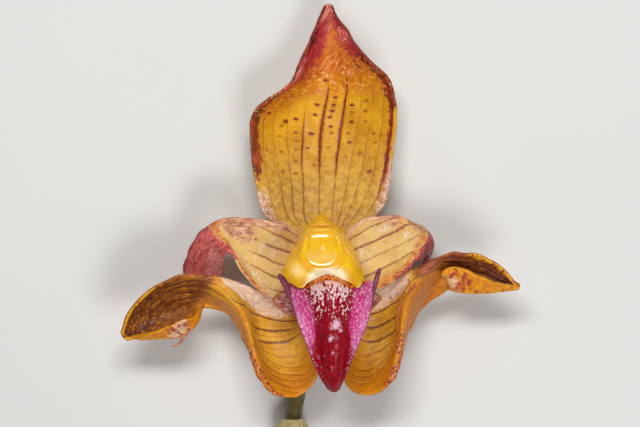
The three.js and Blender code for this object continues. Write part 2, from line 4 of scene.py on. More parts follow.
import bpy
import numpy as np
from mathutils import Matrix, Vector


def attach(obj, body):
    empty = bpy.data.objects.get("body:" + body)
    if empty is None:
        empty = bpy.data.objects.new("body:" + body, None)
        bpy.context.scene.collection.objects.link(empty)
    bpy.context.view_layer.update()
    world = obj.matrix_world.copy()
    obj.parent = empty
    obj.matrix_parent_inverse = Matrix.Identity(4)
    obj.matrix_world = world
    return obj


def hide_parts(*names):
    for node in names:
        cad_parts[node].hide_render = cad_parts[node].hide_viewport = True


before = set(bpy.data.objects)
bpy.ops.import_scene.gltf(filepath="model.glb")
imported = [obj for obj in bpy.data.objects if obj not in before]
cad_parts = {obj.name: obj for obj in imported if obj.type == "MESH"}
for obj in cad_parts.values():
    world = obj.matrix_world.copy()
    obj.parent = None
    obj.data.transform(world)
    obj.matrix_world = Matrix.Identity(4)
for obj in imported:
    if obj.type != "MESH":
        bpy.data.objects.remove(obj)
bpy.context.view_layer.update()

MM = 0.001
# Lengths in millimetres, unless a name or a comment says otherwise
SEPAL_THICKNESS, PETAL_THICKNESS, LOBE_THICKNESS, BRACT_THICKNESS = 0.7, 0.62, 0.62, 0.4
MARGIN_WAVE, MARGIN_WAVE_LENGTH = 0.25, 5.0
VEIN_DEPTH, VEIN_WIDTH = 0.16, 0.4
# Shares of the width of a blade between two veins, and from the last vein to the next that would follow
LEAST_VEIN_GAP, OUTER_VEIN_GAP = 0.02, 0.12
CREST_HEIGHT, CREST_WIDTH = 0.26, 0.42
STEM_RADIUS, OVARY_RADIUS, PEDICEL_RADIUS = 1.88, 3.66, 1.58


def numbers(text):
    return np.array(text.replace(",", " ").split(), float)


def read_net(text):
    """The net of points that gives a blade its middle surface. Each line is a row from side to side."""
    return [numbers(row) for row in text.split("\n") if row]


def read_veins(text):
    """Veins as a path of u and v and, after a bar, their strength by u."""
    return [[numbers(part).reshape(-1, 2) for part in vein.split("|")] for vein in text.split(";")]


DORSAL_SEPAL = read_net("""
-1.6 3.6 9.8, -0.5 3.6 9.7, 0.7 3.6 9.7, 1.8 3.6 9.7, 2.9 3.6 9.8
-5.7 5.7 9.4, -2.6 5.8 8.9, 0.7 5.8 8.8, 3.9 5.8 8.9, 6.8 6.1 9.4
-10.9 8.9 9.6, -5.2 9.1 7.6, 0.4 9.3 7, 5.9 9.5 7.6, 11.6 9.7 9.3
-12.5 14.7 9, -6.1 14.9 5.6, 0.4 15.1 4.7, 6.9 15.1 5.5, 13.4 14.9 8.5
-13.4 21.1 8.5, -6.8 21.2 3.6, 0.3 21.2 2.1, 7.5 21.2 3.6, 14 21.1 8
-13.7 25.7 8.5, -7 26.3 2.4, 0.3 26.7 0.3, 7.7 26.7 2.4, 14.7 26.5 7.5
-12.6 28.9 9.5, -6.4 30.4 2.6, 0.5 31.3 0.1, 7.7 31.4 2.5, 14.5 31.3 8
-9.9 31.4 10, -5 33.3 3.8, 0.7 34.6 0.9, 6.7 35 3.6, 13 35.5 9
-5.9 34.1 9.5, -2.7 36.5 5, 1 38 2.8, 5.1 38.4 5, 9.1 39.1 9.5
-4 38.4 8.5, -1.5 40.3 6, 1.2 41.4 5, 3.9 41.9 6.2, 6.6 42.2 8.5
-2.3 42.3 8, -0.5 43.9 7, 1.3 44.7 6.6, 3.2 45.1 7.1, 4.9 45 8
-0.3 46.5 8.6, 0.4 47.1 8.3, 1.4 47.5 8.2, 2.4 47.7 8.3, 3.1 47.3 8.6
1 49.1 9.8, 1.2 49.3 9.8, 1.5 49.4 9.8, 1.8 49.3 9.8, 2 49.1 9.8
""")
PETAL_LEFT = read_net("""
-2.6 3.2 10.1, -3 1.8 10.1, -3.1 0.2 10.1, -3 -1.4 10.2, -2.6 -2.8 10.4
-5.1 6.1 11.5, -5.9 3 11, -6.1 -0.1 10.8, -5.7 -3.3 11.2, -5.1 -5.8 11.8
-8.3 7.4 12.5, -9.5 4 11.8, -9.9 0.3 11.5, -9.7 -3.5 11.8, -8.7 -7.1 12.6
-12 8.2 13, -13.1 5.3 12.3, -13.7 2.2 12, -13.5 -1 12.6, -12.3 -4.9 13.8
-15.6 8.5 13.4, -16.5 6.4 13, -16.9 4.2 13, -16.5 1.9 13.8, -14.9 -1.8 15.5
-18.5 8.4 13, -19 6.8 13.2, -19 5.3 13.6, -18.2 3.6 14.5, -16.5 1.2 15.8
-21 7.2 12, -20.8 5.9 12.8, -20.3 4.6 13.4, -19.4 3.2 14, -17.8 1.5 14.2
-23.3 5.7 10, -22.6 4.5 11, -21.6 3.4 11.6, -20.2 2.2 11.8, -18.5 0.8 11.4
-25.1 2.9 7.6, -24 2.2 8.5, -22.5 1.4 9, -20.7 0.6 9, -18.7 -0.5 8.6
-26.5 -0.2 5, -25.1 -0.8 6, -23.2 -1.2 6.5, -21 -1.7 6.4, -18.9 -2.2 6
-26.7 -3 2.8, -25.3 -3.5 3.6, -23.3 -3.9 4, -21.3 -4 4, -19.7 -3.9 3.6
-25.8 -5.4 1.2, -24.8 -5.8 1.7, -23.3 -6.1 1.9, -21.9 -5.9 1.8, -20.9 -5.4 1.5
-24 -7.3 0.2, -23.7 -7.5 0.2, -23.3 -7.6 0.2, -22.9 -7.5 0.2, -22.6 -7.3 0.2
""")
PETAL_RIGHT = read_net("""
3.4 3.2 10.1, 3.8 1.8 10.1, 4 0.2 10.1, 3.8 -1.4 10.2, 3.4 -2.8 10.4
5.6 6.4 11.5, 6.4 3.6 11, 6.6 0.7 10.8, 6.6 -2 11.2, 6 -4.7 11.8
8.3 8.2 12, 9.1 5.3 11.4, 9.7 2 11, 10 -1.4 11.4, 10.2 -5.3 12.4
11.6 8.8 12, 12.6 6.3 11.6, 13.1 3.4 11.4, 13.5 0.2 12.1, 13.4 -4.1 13.7
14.7 8.9 11.5, 15.6 6.8 11.8, 16.4 4.3 11.8, 16.7 1.7 12.6, 16 -2 14.6
17.2 7.7 10.8, 18.1 6.2 11.6, 18.7 4.5 12, 18.8 2.4 12.6, 17.7 -0.2 13.9
19.2 6.9 9.5, 20.1 5.6 10.6, 20.5 4.2 11, 20.4 2.7 10.8, 19.5 0.8 10.8
20.8 5.6 7.4, 21.4 4.6 8.2, 21.6 3.5 8.4, 21.3 2.4 8.2, 20.5 1.2 7.8
21.1 4.2 4.6, 21.7 3.2 5.2, 21.6 2.2 5.5, 21 1 5.4, 20.2 -0.2 5.2
20.7 2 2.2, 21 1 2.7, 20.7 0 2.9, 20.1 -1 2.8, 19.4 -1.9 2.6
19.5 -1.4 0.5, 19.6 -1.7 0.5, 19.4 -2.1 0.5, 19.1 -2.4 0.5, 18.8 -2.6 0.5
""")
LATERAL_SEPAL_LEFT = read_net("""
-0.7 -4.4 10.4, -0.6 -6.1 10.4, -0.4 -8 10.5, -0.2 -9.9 10.5, 0 -11.8 10.8, 0.2 -13.5 11
-4 -5.5 9.4, -3.8 -7.4 8.9, -3.4 -10 8.3, -2.6 -13.1 8, -1.5 -16.1 9, -0.1 -18.9 11
-7.1 -6.3 9.2, -7.3 -8.4 8.2, -7.1 -11.4 7.2, -6.3 -15.5 6.8, -4.6 -19.6 8, -1.3 -23.2 12
-9.4 -6.3 9.8, -10 -8.2 8.7, -10.4 -11.2 7.4, -10 -15.6 7, -8.4 -20.6 8.5, -4.5 -25.6 13
-11.3 -5.8 10.6, -12 -7.6 9.9, -12.5 -10.1 9, -12.3 -14 8.8, -11.1 -18.9 10.5, -8.3 -25.5 14.5
-13 -5 11.6, -13.7 -6.8 11.5, -13.9 -8.7 11.5, -13.5 -11.5 12, -12.7 -15.8 13.8, -11.1 -23.1 15.5
-14.7 -4.3 12.6, -15.2 -5.8 13, -15.2 -7.3 13.4, -14.6 -9.5 14.3, -13.6 -13.7 14.5, -12.7 -19.8 14
-16.7 -3.5 13.6, -17.1 -4.8 14.2, -16.9 -6.1 14.8, -16.1 -8.4 15, -15.2 -11.5 13, -14.1 -16.2 11.5
-19.2 -2.8 14.5, -19.3 -4 15, -19.1 -5.3 15, -18.6 -7.3 13.6, -17.9 -9.1 11.2, -17.6 -10.3 9.6
-21.8 -2.4 15.6, -22 -3.6 15, -22.1 -5.2 13.4, -22.1 -6.7 11.2, -22.2 -8 9.9, -22.6 -9 9.7
-24.9 -2.3 16.2, -25.2 -4 14, -25.4 -6.2 11.2, -25.2 -8.8 9.6, -24 -12 12, -23.8 -10.1 14
-28.1 -3 16.5, -28.6 -5 13.3, -29 -7.2 10.4, -29 -10.2 9.2, -26.9 -14.1 12.4, -25.9 -10.7 16.2
-31.3 -4.5 16.5, -31.9 -6.3 13.2, -32.3 -8.5 10.6, -32.3 -11.4 9.6, -30.7 -14.5 12.2, -29.1 -12.2 15.6
-34.4 -6.9 15.6, -34.8 -8.6 13, -34.9 -10.6 10.8, -34.8 -12.8 10.2, -33.9 -14.7 12, -32.4 -13.5 14.3
-36.9 -10.3 14.4, -37 -11.5 12.8, -36.8 -12.8 11.6, -36.3 -13.9 11.2, -35.8 -14.5 11.8, -34.8 -14.2 12.8
-38.1 -13.3 13.1, -38.1 -13.7 12.8, -38 -14.1 12.5, -37.8 -14.4 12.3, -37.4 -14.7 12.3, -36.9 -14.9 12.5
""")
LATERAL_SEPAL_RIGHT = read_net("""
3 -4.4 10.4, 2.9 -6.1 10.4, 2.8 -8 10.5, 2.7 -9.9 10.5, 2.6 -11.8 10.8, 2.6 -13.5 11
5.4 -5.1 9.4, 5.6 -7.1 8.9, 5.8 -9.6 8.3, 5.5 -12.9 8, 4.9 -16.1 9, 3.7 -18.9 11
8.3 -5.3 9.2, 8.9 -7.5 8.2, 9.1 -10.4 7.2, 9 -14.7 6.8, 7.8 -19.2 8, 4.8 -23.4 12
10.6 -4.9 9.8, 11.4 -6.9 8.7, 12 -9.8 7.4, 12 -14.5 7, 11 -20 8.5, 7.7 -25.4 13
12.5 -4.1 10.6, 13.5 -5.9 9.9, 14.1 -8.4 9.2, 14.2 -12.6 9, 13.5 -18.1 10.5, 10.9 -24.9 14.5
14 -3.3 11.6, 14.9 -4.9 11.5, 15.4 -7 11.7, 15.3 -10.4 12.3, 15.1 -15.3 14, 13.2 -23.1 15.5
15.5 -2.4 12.4, 16.4 -3.8 12.9, 16.6 -5.2 13.4, 16.1 -7.8 14.3, 15.7 -12.6 13.5, 14.9 -19.5 13.5
17.4 -1.4 13.4, 18.1 -2.5 14, 18.3 -3.6 14.4, 17.9 -5.9 14.2, 17 -9.8 12.5, 16 -15.6 11
19.5 -0.3 14.6, 20 -1.3 14.8, 20.2 -2.5 14.2, 19.9 -4.5 12.3, 19.1 -7.4 10.5, 17.6 -11.7 8.5
21.7 0.9 15.2, 22.1 -0.2 14.8, 22.4 -1.4 13.2, 22.3 -3.2 10.8, 21.6 -5.3 9, 20 -8.5 7.5
24.2 1.5 15.6, 24.4 0.4 14.2, 24.7 -1 12, 24.6 -2.8 10.2, 24.1 -5.1 9.6, 24.9 -4.9 8.8
26.6 1.7 15.6, 26.9 0.5 13.8, 27.1 -0.8 11.8, 26.9 -3.2 10.8, 26.2 -5.6 12.2, 23.1 -1.9 15.8
29.5 1.5 15.2, 29.6 0.4 13.5, 29.6 -1.1 11.8, 29.4 -3.3 10.8, 28.7 -5.8 12.2, 26.2 -1 15.8
32.2 0.5 14.6, 32.3 -0.7 13, 32.3 -2 11.8, 32.1 -3.7 11.2, 31.4 -5.8 12.5, 29.9 -2.6 15.4
34.9 -1.5 13.8, 34.9 -2.3 12.8, 34.8 -3.3 12.2, 34.5 -4.5 12, 34.1 -5.5 12.6, 33.4 -4 14.2
37.8 -4.6 12.9, 37.9 -4.7 12.8, 38 -4.8 12.7, 38 -4.9 12.7, 37.9 -5 12.8, 37.8 -5 12.9
""")
LIP = read_net("""
0.1 -12 12.6, 0.9 -12 12.7, 1.4 -12 12.7, 1.9 -12 12.7, 2.7 -12 12.6
-0.7 -8.4 15.2, 0.4 -8.4 15.5, 1.4 -8.4 15.6, 2.5 -8.4 15.5, 3.7 -8.4 15.2
-1.9 -5.4 18, -0.3 -5.3 18.5, 1.4 -5.2 18.8, 3.2 -5.3 18.5, 4.9 -5.4 18
-3 -4.8 18.6, -0.9 -4.3 20.2, 1.4 -3.8 21.5, 3.8 -4.3 20.2, 5.9 -4.8 18.6
-6.3 -4.3 18, -2.6 -5.4 20.9, 1.6 -4.2 24.2, 6 -5.4 20.9, 9.8 -3.7 18
-5.5 -6.8 20.4, -2.1 -7.2 22.9, 1.9 -6.8 25.3, 6 -7.2 22.9, 9.7 -6.6 20.4
-4.3 -11.1 23.2, -1.3 -11.2 23.2, 2.2 -11.2 25.4, 5.8 -11.2 23.2, 8.9 -10.8 23.2
-2.8 -15 24, -0.4 -15.2 23.1, 2.4 -15.2 24.8, 5.3 -15.2 23.1, 7.3 -14.8 24
-1.4 -18.8 23.4, 0.4 -19 22.4, 2.4 -19.1 23.5, 4.4 -19 22.4, 5.6 -18.6 23.4
0 -21.8 21.8, 1.1 -22 21.3, 2.4 -22.1 21.8, 3.6 -22 21.3, 4.5 -21.7 21.8
1.3 -23.6 19.8, 1.8 -23.8 19.7, 2.5 -23.9 19.7, 3.1 -23.8 19.7, 3.6 -23.6 19.8
""")
LIP_LOBE_LEFT = read_net("""
-0.2 -5.9 17.5, 0.1 -7.4 16.1, 0.2 -8.9 14.9, 0.4 -10.4 13.8
-5.2 -5.5 17.8, -5.6 -7 17.3, -4.6 -8.7 16.5, -3 -10.4 15.3
-7.4 -5.6 17.8, -9.1 -7 17.4, -7.8 -8.9 16.9, -4.9 -10.8 15.9
""")
LIP_LOBE_RIGHT = read_net("""
3 -5.9 17.5, 2.8 -7.4 16.1, 2.6 -8.9 14.9, 2.4 -10.4 13.8
8.4 -5.8 17.6, 8.8 -7 17.1, 7.9 -8.5 16.4, 6 -10.4 15.3
10.6 -5.9 17.6, 11.5 -6.8 17.2, 10.6 -8.1 16.8, 8.2 -10.6 15.9
""")
# The rim of the column from in front: the beak, down the left wing, along the arch, up the right wing
COLUMN_RIM = [
    [0.1, 9.2, 17.7], [-2.3, 7.3, 18.2], [-3.8, 5.3, 18.4], [-5.0, 3.0, 18.6], [-6.4, 0.3, 19.4],
    [-7.2, -1.7, 20.8], [-6.15, -3.25, 21.7], [-3.75, -4.8, 22.3], [-1.9, -3.5, 21.3], [1.2, -2.4, 20.9],
    [5.2, -3.6, 21.6], [7.0, -4.7, 22.1], [8.0, -3.1, 21.2], [8.0, -1.7, 20.6], [7.1, 0.7, 19.4],
    [5.7, 3.4, 18.6], [4.1, 5.9, 18.4], [2.3, 7.5, 18.2],
]
COLUMN_MIDDLE = np.array([0.4, 1.6, 20.7])
COLUMN_SEAT = 9.65
COLUMN_SIDES, BODY_RINGS, FACE_RINGS = 220, 73, 110
# Heights of the column's face, of the collar round the cap and of the arch below it
FACE_HEIGHT, COLLAR_HEIGHT, ARCH_HEIGHT = 21.9, 22.35, 21.45
CAP = {"width": 7.15, "height": 7.6, "at": (0.2, 2.8)}
CAP_SEAT = 21.0
STEM_LINE = [
    [0.4, -0.4, 9.3], [0.4, -0.5, 8.6], [0.4, -0.8, 7.6], [0.3, -2.0, 6.0], [0.0, -5.0, 4.6],
    [-1.0, -9.5, 3.9], [-2.6, -16.0, 2.7], [-4.2, -24.0, 2.2], [-5.4, -31.0, 2.6], [-5.7, -37.5, 2.4],
    [-4.9, -43.0, 1.8], [-3.4, -49.4, 1.7],
]
RECEPTACLE_TOP = 9.3
# Where the bract starts and ends, as shares of the stem line
BRACT_FOOT, BRACT_TIP = 0.825, 0.72


# Shapes


def spline(points, at):
    """Points of a smooth curve through the first axis of points, at shares from 0 to 1 along it."""
    points = np.asarray(points, float)
    last = len(points) - 1
    padded = np.concatenate([2 * points[:1] - points[1:2], points, 2 * points[-1:] - points[-2:-1]])
    place = np.clip(at, 0, 1) * last
    k = np.minimum(place.astype(int), last - 1)
    f = (place - k).reshape((-1,) + (1,) * (points.ndim - 1))
    a, b, c, d = (padded[k + n] for n in range(4))
    return 0.5 * (2 * b + (c - a) * f + (2 * a - 5 * b + 4 * c - d) * f**2 + (3 * b - a - 3 * c + d) * f**3)


def loop(points, count):
    """Points of a smooth closed curve through the points."""
    points = np.asarray(points, float)
    wide = np.concatenate([points[-2:], points, points[:3]])
    n, m = len(points), len(wide) - 1
    return spline(wide, (2 + np.arange(count) / count * n) / m)


def soft(lo, hi, x):
    """0 up to lo, 1 from hi on, and smooth between them."""
    t = np.clip((x - lo) / (hi - lo), 0, 1)
    return t * t * (3 - 2 * t)


def bell(x, middle, width):
    """1 at the middle and close to 0 from two widths on."""
    return np.exp(-(((x - middle) / width) ** 2))


def stack(*channels):
    return np.stack(np.broadcast_arrays(*channels), axis=-1)


def shares(count):
    """Even shares of 0 to 1, with a few more close to each end for the rounded rim."""
    core = np.linspace(0, 1, count)
    close = core[1] * np.array([0.04, 0.14, 0.3, 0.6])
    return np.concatenate([[0], close, core[1:-1], 1 - close[::-1], [1]])


WAVES = 9


def ripple(x, y, size, seed):
    """Uneven waves of about the given length, between -1 and 1."""
    draw = np.random.RandomState(seed)
    total = np.zeros_like(x)
    for _ in range(WAVES):
        turn, phase = draw.uniform(0, 2 * np.pi), draw.uniform(0, 2 * np.pi)
        stretch = draw.uniform(0.7, 1.5)
        total += np.sin((x * np.cos(turn) + y * np.sin(turn)) * 2 * np.pi * stretch / size + phase)
    return total / 5


def unit(vectors):
    return vectors / np.maximum(np.linalg.norm(vectors, axis=-1, keepdims=True), 1e-9)


class Sheet:
    """The middle surface of a blade as a fine grid. u runs from base to tip and v from side to side."""

    def __init__(self, net, rows, columns):
        net = np.array(net, float)
        net = net.reshape(len(net), -1, 3)
        self.rows_at, self.columns_at = shares(rows), shares(columns)
        crossed = spline(net.transpose(1, 0, 2), self.columns_at).transpose(1, 0, 2)
        self.points = spline(crossed, self.rows_at)
        self.u, self.v = np.meshgrid(self.rows_at, self.columns_at, indexing="ij")
        self.measure()

    def measure(self):
        p = self.points
        side_steps = np.linalg.norm(np.diff(p, axis=1), axis=2)
        end_steps = np.linalg.norm(np.diff(p, axis=0), axis=2)
        self.across = np.pad(np.cumsum(side_steps, axis=1), ((0, 0), (1, 0)))
        self.along = np.pad(np.cumsum(end_steps, axis=0), ((1, 0), (0, 0)))
        self.width = self.across[:, -1:]
        self.side_edge = np.minimum(self.across, self.width - self.across)
        self.edge = np.minimum(self.side_edge, np.minimum(self.along, self.along[-1:] - self.along))
        ahead = p[np.minimum(np.arange(len(p)) + 1, len(p) - 1)] - p[np.maximum(np.arange(len(p)) - 1, 0)]
        n = p.shape[1]
        beside = p[:, np.minimum(np.arange(n) + 1, n - 1)] - p[:, np.maximum(np.arange(n) - 1, 0)]
        self.t_along, self.t_across = unit(ahead), unit(beside)
        normal = unit(np.cross(beside, ahead))
        lower = normal[: len(p) // 3]
        self.normal = normal if lower[..., 2].mean() > 0 else -normal

    def lift(self, height):
        """Moves every point along the normal by its height."""
        self.points += self.normal * height[..., None]

    def at(self, u, v):
        """The grid point nearest to u and v."""
        return int(np.argmin(np.abs(self.rows_at - u))), int(np.argmin(np.abs(self.columns_at - v)))


def vein_field(sheet, veins):
    """A coordinate that is a whole number on each vein, millimetres per unit of it, and strength."""
    rows = sheet.rows_at
    place, power = (np.array([np.interp(rows, *vein[k].T) for vein in veins]) for k in (0, 1))
    for k in range(1, len(place)):
        place[k] = np.maximum(place[k], place[k - 1] + LEAST_VEIN_GAP)
    kernel = np.ones(9) / 9
    place = np.array([np.convolve(np.pad(line, 4, mode="edge"), kernel, mode="valid") for line in place])
    lo = np.minimum(place[:1] - OUTER_VEIN_GAP, -LEAST_VEIN_GAP)
    hi = np.maximum(place[-1:] + OUTER_VEIN_GAP, 1 + LEAST_VEIN_GAP)
    place = np.concatenate([lo, place, hi])
    power = np.concatenate([np.zeros_like(lo), power, np.zeros_like(hi)])
    gap = np.gradient(place, axis=0)
    order = np.arange(-1, len(veins) + 1)
    out = np.zeros(sheet.u.shape + (3,))
    for i in range(len(rows)):
        out[i, :, 0] = np.interp(sheet.columns_at, place[:, i], order)
        out[i, :, 1] = np.interp(sheet.columns_at, place[:, i], gap[:, i]) * sheet.width[i, 0]
        out[i, :, 2] = np.interp(sheet.columns_at, place[:, i], power[:, i])
    return out


def vein_relief(field, depth, width):
    """A shallow groove along each vein."""
    away = np.abs(field[..., 0] - np.round(field[..., 0])) * field[..., 1]
    return -depth * field[..., 2] * bell(away, 0, width)


FAR = 1e9


def spot_field(sheet, spots):
    """How far the nearest spot is, across and along, in spot radii, and its strength.

    A spot is u, v, radius and strength, which is below 0 on the outer face."""
    near = np.full(sheet.u.shape, FAR)
    second = near
    out = np.zeros(sheet.u.shape + (3,))
    out[..., :2] = 9
    for u, v, radius, strength in spots:
        i, j = sheet.at(u, v)
        offset = sheet.points - sheet.points[i, j]
        x = offset @ sheet.t_across[i, j] / radius
        y = offset @ sheet.t_along[i, j] / radius
        d = np.linalg.norm(offset, axis=2) / radius
        closer = d < near
        second = np.where(closer, near, np.minimum(second, d))
        near = np.where(closer, d, near)
        for channel, value in enumerate((x, y, strength)):
            out[..., channel] = np.where(closer, value, out[..., channel])
    out[..., 2] = np.sign(out[..., 2]) * np.minimum(1.3 * np.abs(out[..., 2]) + 0.1, 1)
    out[..., 2] *= soft(2.4, 1.8, near) * soft(0.0, 0.5, second - near)
    return out


def make_object(name, vertices, faces, fields):
    """A smooth-shaded object from millimetres, with named fields on its vertices."""
    mesh = bpy.data.meshes.new(name)
    mesh.from_pydata((np.asarray(vertices) * MM).tolist(), [], faces)
    mesh.polygons.foreach_set("use_smooth", [True] * len(mesh.polygons))
    for label, values in fields.items():
        layer = mesh.attributes.new(label, "FLOAT_VECTOR", "POINT")
        layer.data.foreach_set("vector", np.ascontiguousarray(values, dtype=np.float32).ravel())
    mesh.update()
    piece = bpy.data.objects.new(name, mesh)
    bpy.context.collection.objects.link(piece)
    return piece


def blade_parts(sheet, thickness, fields, rim=0.35):
    """Vertices, faces and fields of a closed blade with a rounded rim round the sheet."""
    rows, columns = sheet.u.shape
    round_rim = np.sqrt(np.clip(1 - (1 - np.clip(sheet.edge / rim, 0, 1)) ** 2, 0, 1))
    half = (0.5 * thickness * round_rim)[..., None] * sheet.normal
    front, back = sheet.points + half, sheet.points - half
    for face in (front, back):
        face[..., 2] = np.maximum(face[..., 2], 0)
    front_id = np.arange(rows * columns).reshape(rows, columns)
    back_id = front_id.copy()
    inner = (slice(1, -1), slice(1, -1))
    back_id[inner] = rows * columns + np.arange((rows - 2) * (columns - 2)).reshape(rows - 2, columns - 2)
    vertices = np.concatenate([front.reshape(-1, 3), back[inner].reshape(-1, 3)])
    side = np.zeros((rows, columns))
    side[inner] = 1

    def quads(ids):
        return np.stack([ids[:-1, :-1], ids[:-1, 1:], ids[1:, 1:], ids[1:, :-1]], axis=-1).reshape(-1, 4)

    up = np.cross(front[1, 2] - front[1, 1], front[2, 1] - front[1, 1]) @ sheet.normal[1, 1] > 0
    a, b = quads(front_id), quads(back_id)
    faces = np.concatenate([a, b[:, ::-1]] if up else [a[:, ::-1], b]).tolist()
    fields = {**fields, "tissue": stack(sheet.along, sheet.across, sheet.edge),
              "face": stack(side, sheet.u, sheet.v)}
    made = {label: np.concatenate([f.reshape(-1, 3), f[inner].reshape(-1, 3)])
            for label, f in fields.items()}
    made["face"][rows * columns:, 0] = -1
    return vertices, faces, made


def tube_parts(line, sides, radius_at, top=np.inf):
    """Vertices, faces and a place field of a round closed bar along a line of points."""
    line = np.asarray(line, float)
    n = len(line)
    ahead = unit(line[np.minimum(np.arange(n) + 1, n - 1)] - line[np.maximum(np.arange(n) - 1, 0)])
    cross = unit(np.array([1.0, 0, 0]) - ahead * ahead[:, :1])
    up = np.cross(ahead, cross)
    t = np.linspace(0, 1, n)[:, None]
    angle = (np.arange(sides) / sides * 2 * np.pi)[None, :]
    radius = radius_at(t, angle)[..., None]
    turned = cross[:, None] * np.cos(angle)[..., None] + up[:, None] * np.sin(angle)[..., None]
    rings = line[:, None] + radius * turned
    rings[..., 2] = np.clip(rings[..., 2], 0, top)
    return ring_parts(rings, {"place": stack(t, angle, radius[..., 0])})


def ring_parts(rings, fields):
    """Closes a stack of equal rings with a fan at each end."""
    n, sides = rings.shape[:2]
    ids = np.arange(n * sides).reshape(n, sides)
    nxt = np.roll(ids, -1, axis=1)
    quads = np.stack([ids[:-1], nxt[:-1], nxt[1:], ids[1:]], axis=-1).reshape(-1, 4).tolist()
    first, last = n * sides, n * sides + 1
    fans = [[first, int(nxt[0, k]), int(ids[0, k])] for k in range(sides)]
    fans += [[last, int(ids[-1, k]), int(nxt[-1, k])] for k in range(sides)]

    def closed(values):
        return np.concatenate([values.reshape(-1, 3), [values[0].mean(axis=0), values[-1].mean(axis=0)]])

    vertices = closed(rings)
    faces = quads + fans
    a, b, c = (vertices[[f[k] for f in faces]] for k in range(3))
    d = vertices[[f[-1] for f in faces]]
    volume = (np.einsum("ij,ij->i", a, np.cross(b, c)).sum()
              + np.einsum("ij,ij->i", a, np.cross(c, d)).sum())
    if volume < 0:
        faces = [f[::-1] for f in faces]
    made = {label: closed(field) for label, field in fields.items()}
    return vertices, faces, made


def join(parts):
    """One mesh from several closed bodies. A field that a body lacks is 0 on it."""
    labels = sorted({label for _, _, fields in parts for label in fields})
    vertices, faces, made = [], [], {label: [] for label in labels}
    start = 0
    for points, polygons, fields in parts:
        vertices.append(points)
        faces += [[k + start for k in polygon] for polygon in polygons]
        for label in labels:
            made[label].append(fields.get(label, np.zeros((len(points), 3))))
        start += len(points)
    return np.concatenate(vertices), faces, {label: np.concatenate(v) for label, v in made.items()}


# Materials


class Value:
    """A socket of a node tree that can be used in a formula."""

    def __init__(self, paint, socket):
        self.paint, self.socket = paint, socket

    def __add__(self, other):
        return self.paint.math("ADD", self, other)

    def __sub__(self, other):
        return self.paint.math("SUBTRACT", self, other)

    def __rsub__(self, other):
        return self.paint.math("SUBTRACT", other, self)

    def __mul__(self, other):
        return self.paint.math("MULTIPLY", self, other)

    def __truediv__(self, other):
        return self.paint.math("DIVIDE", self, other)

    __radd__ = __add__
    __rmul__ = __mul__


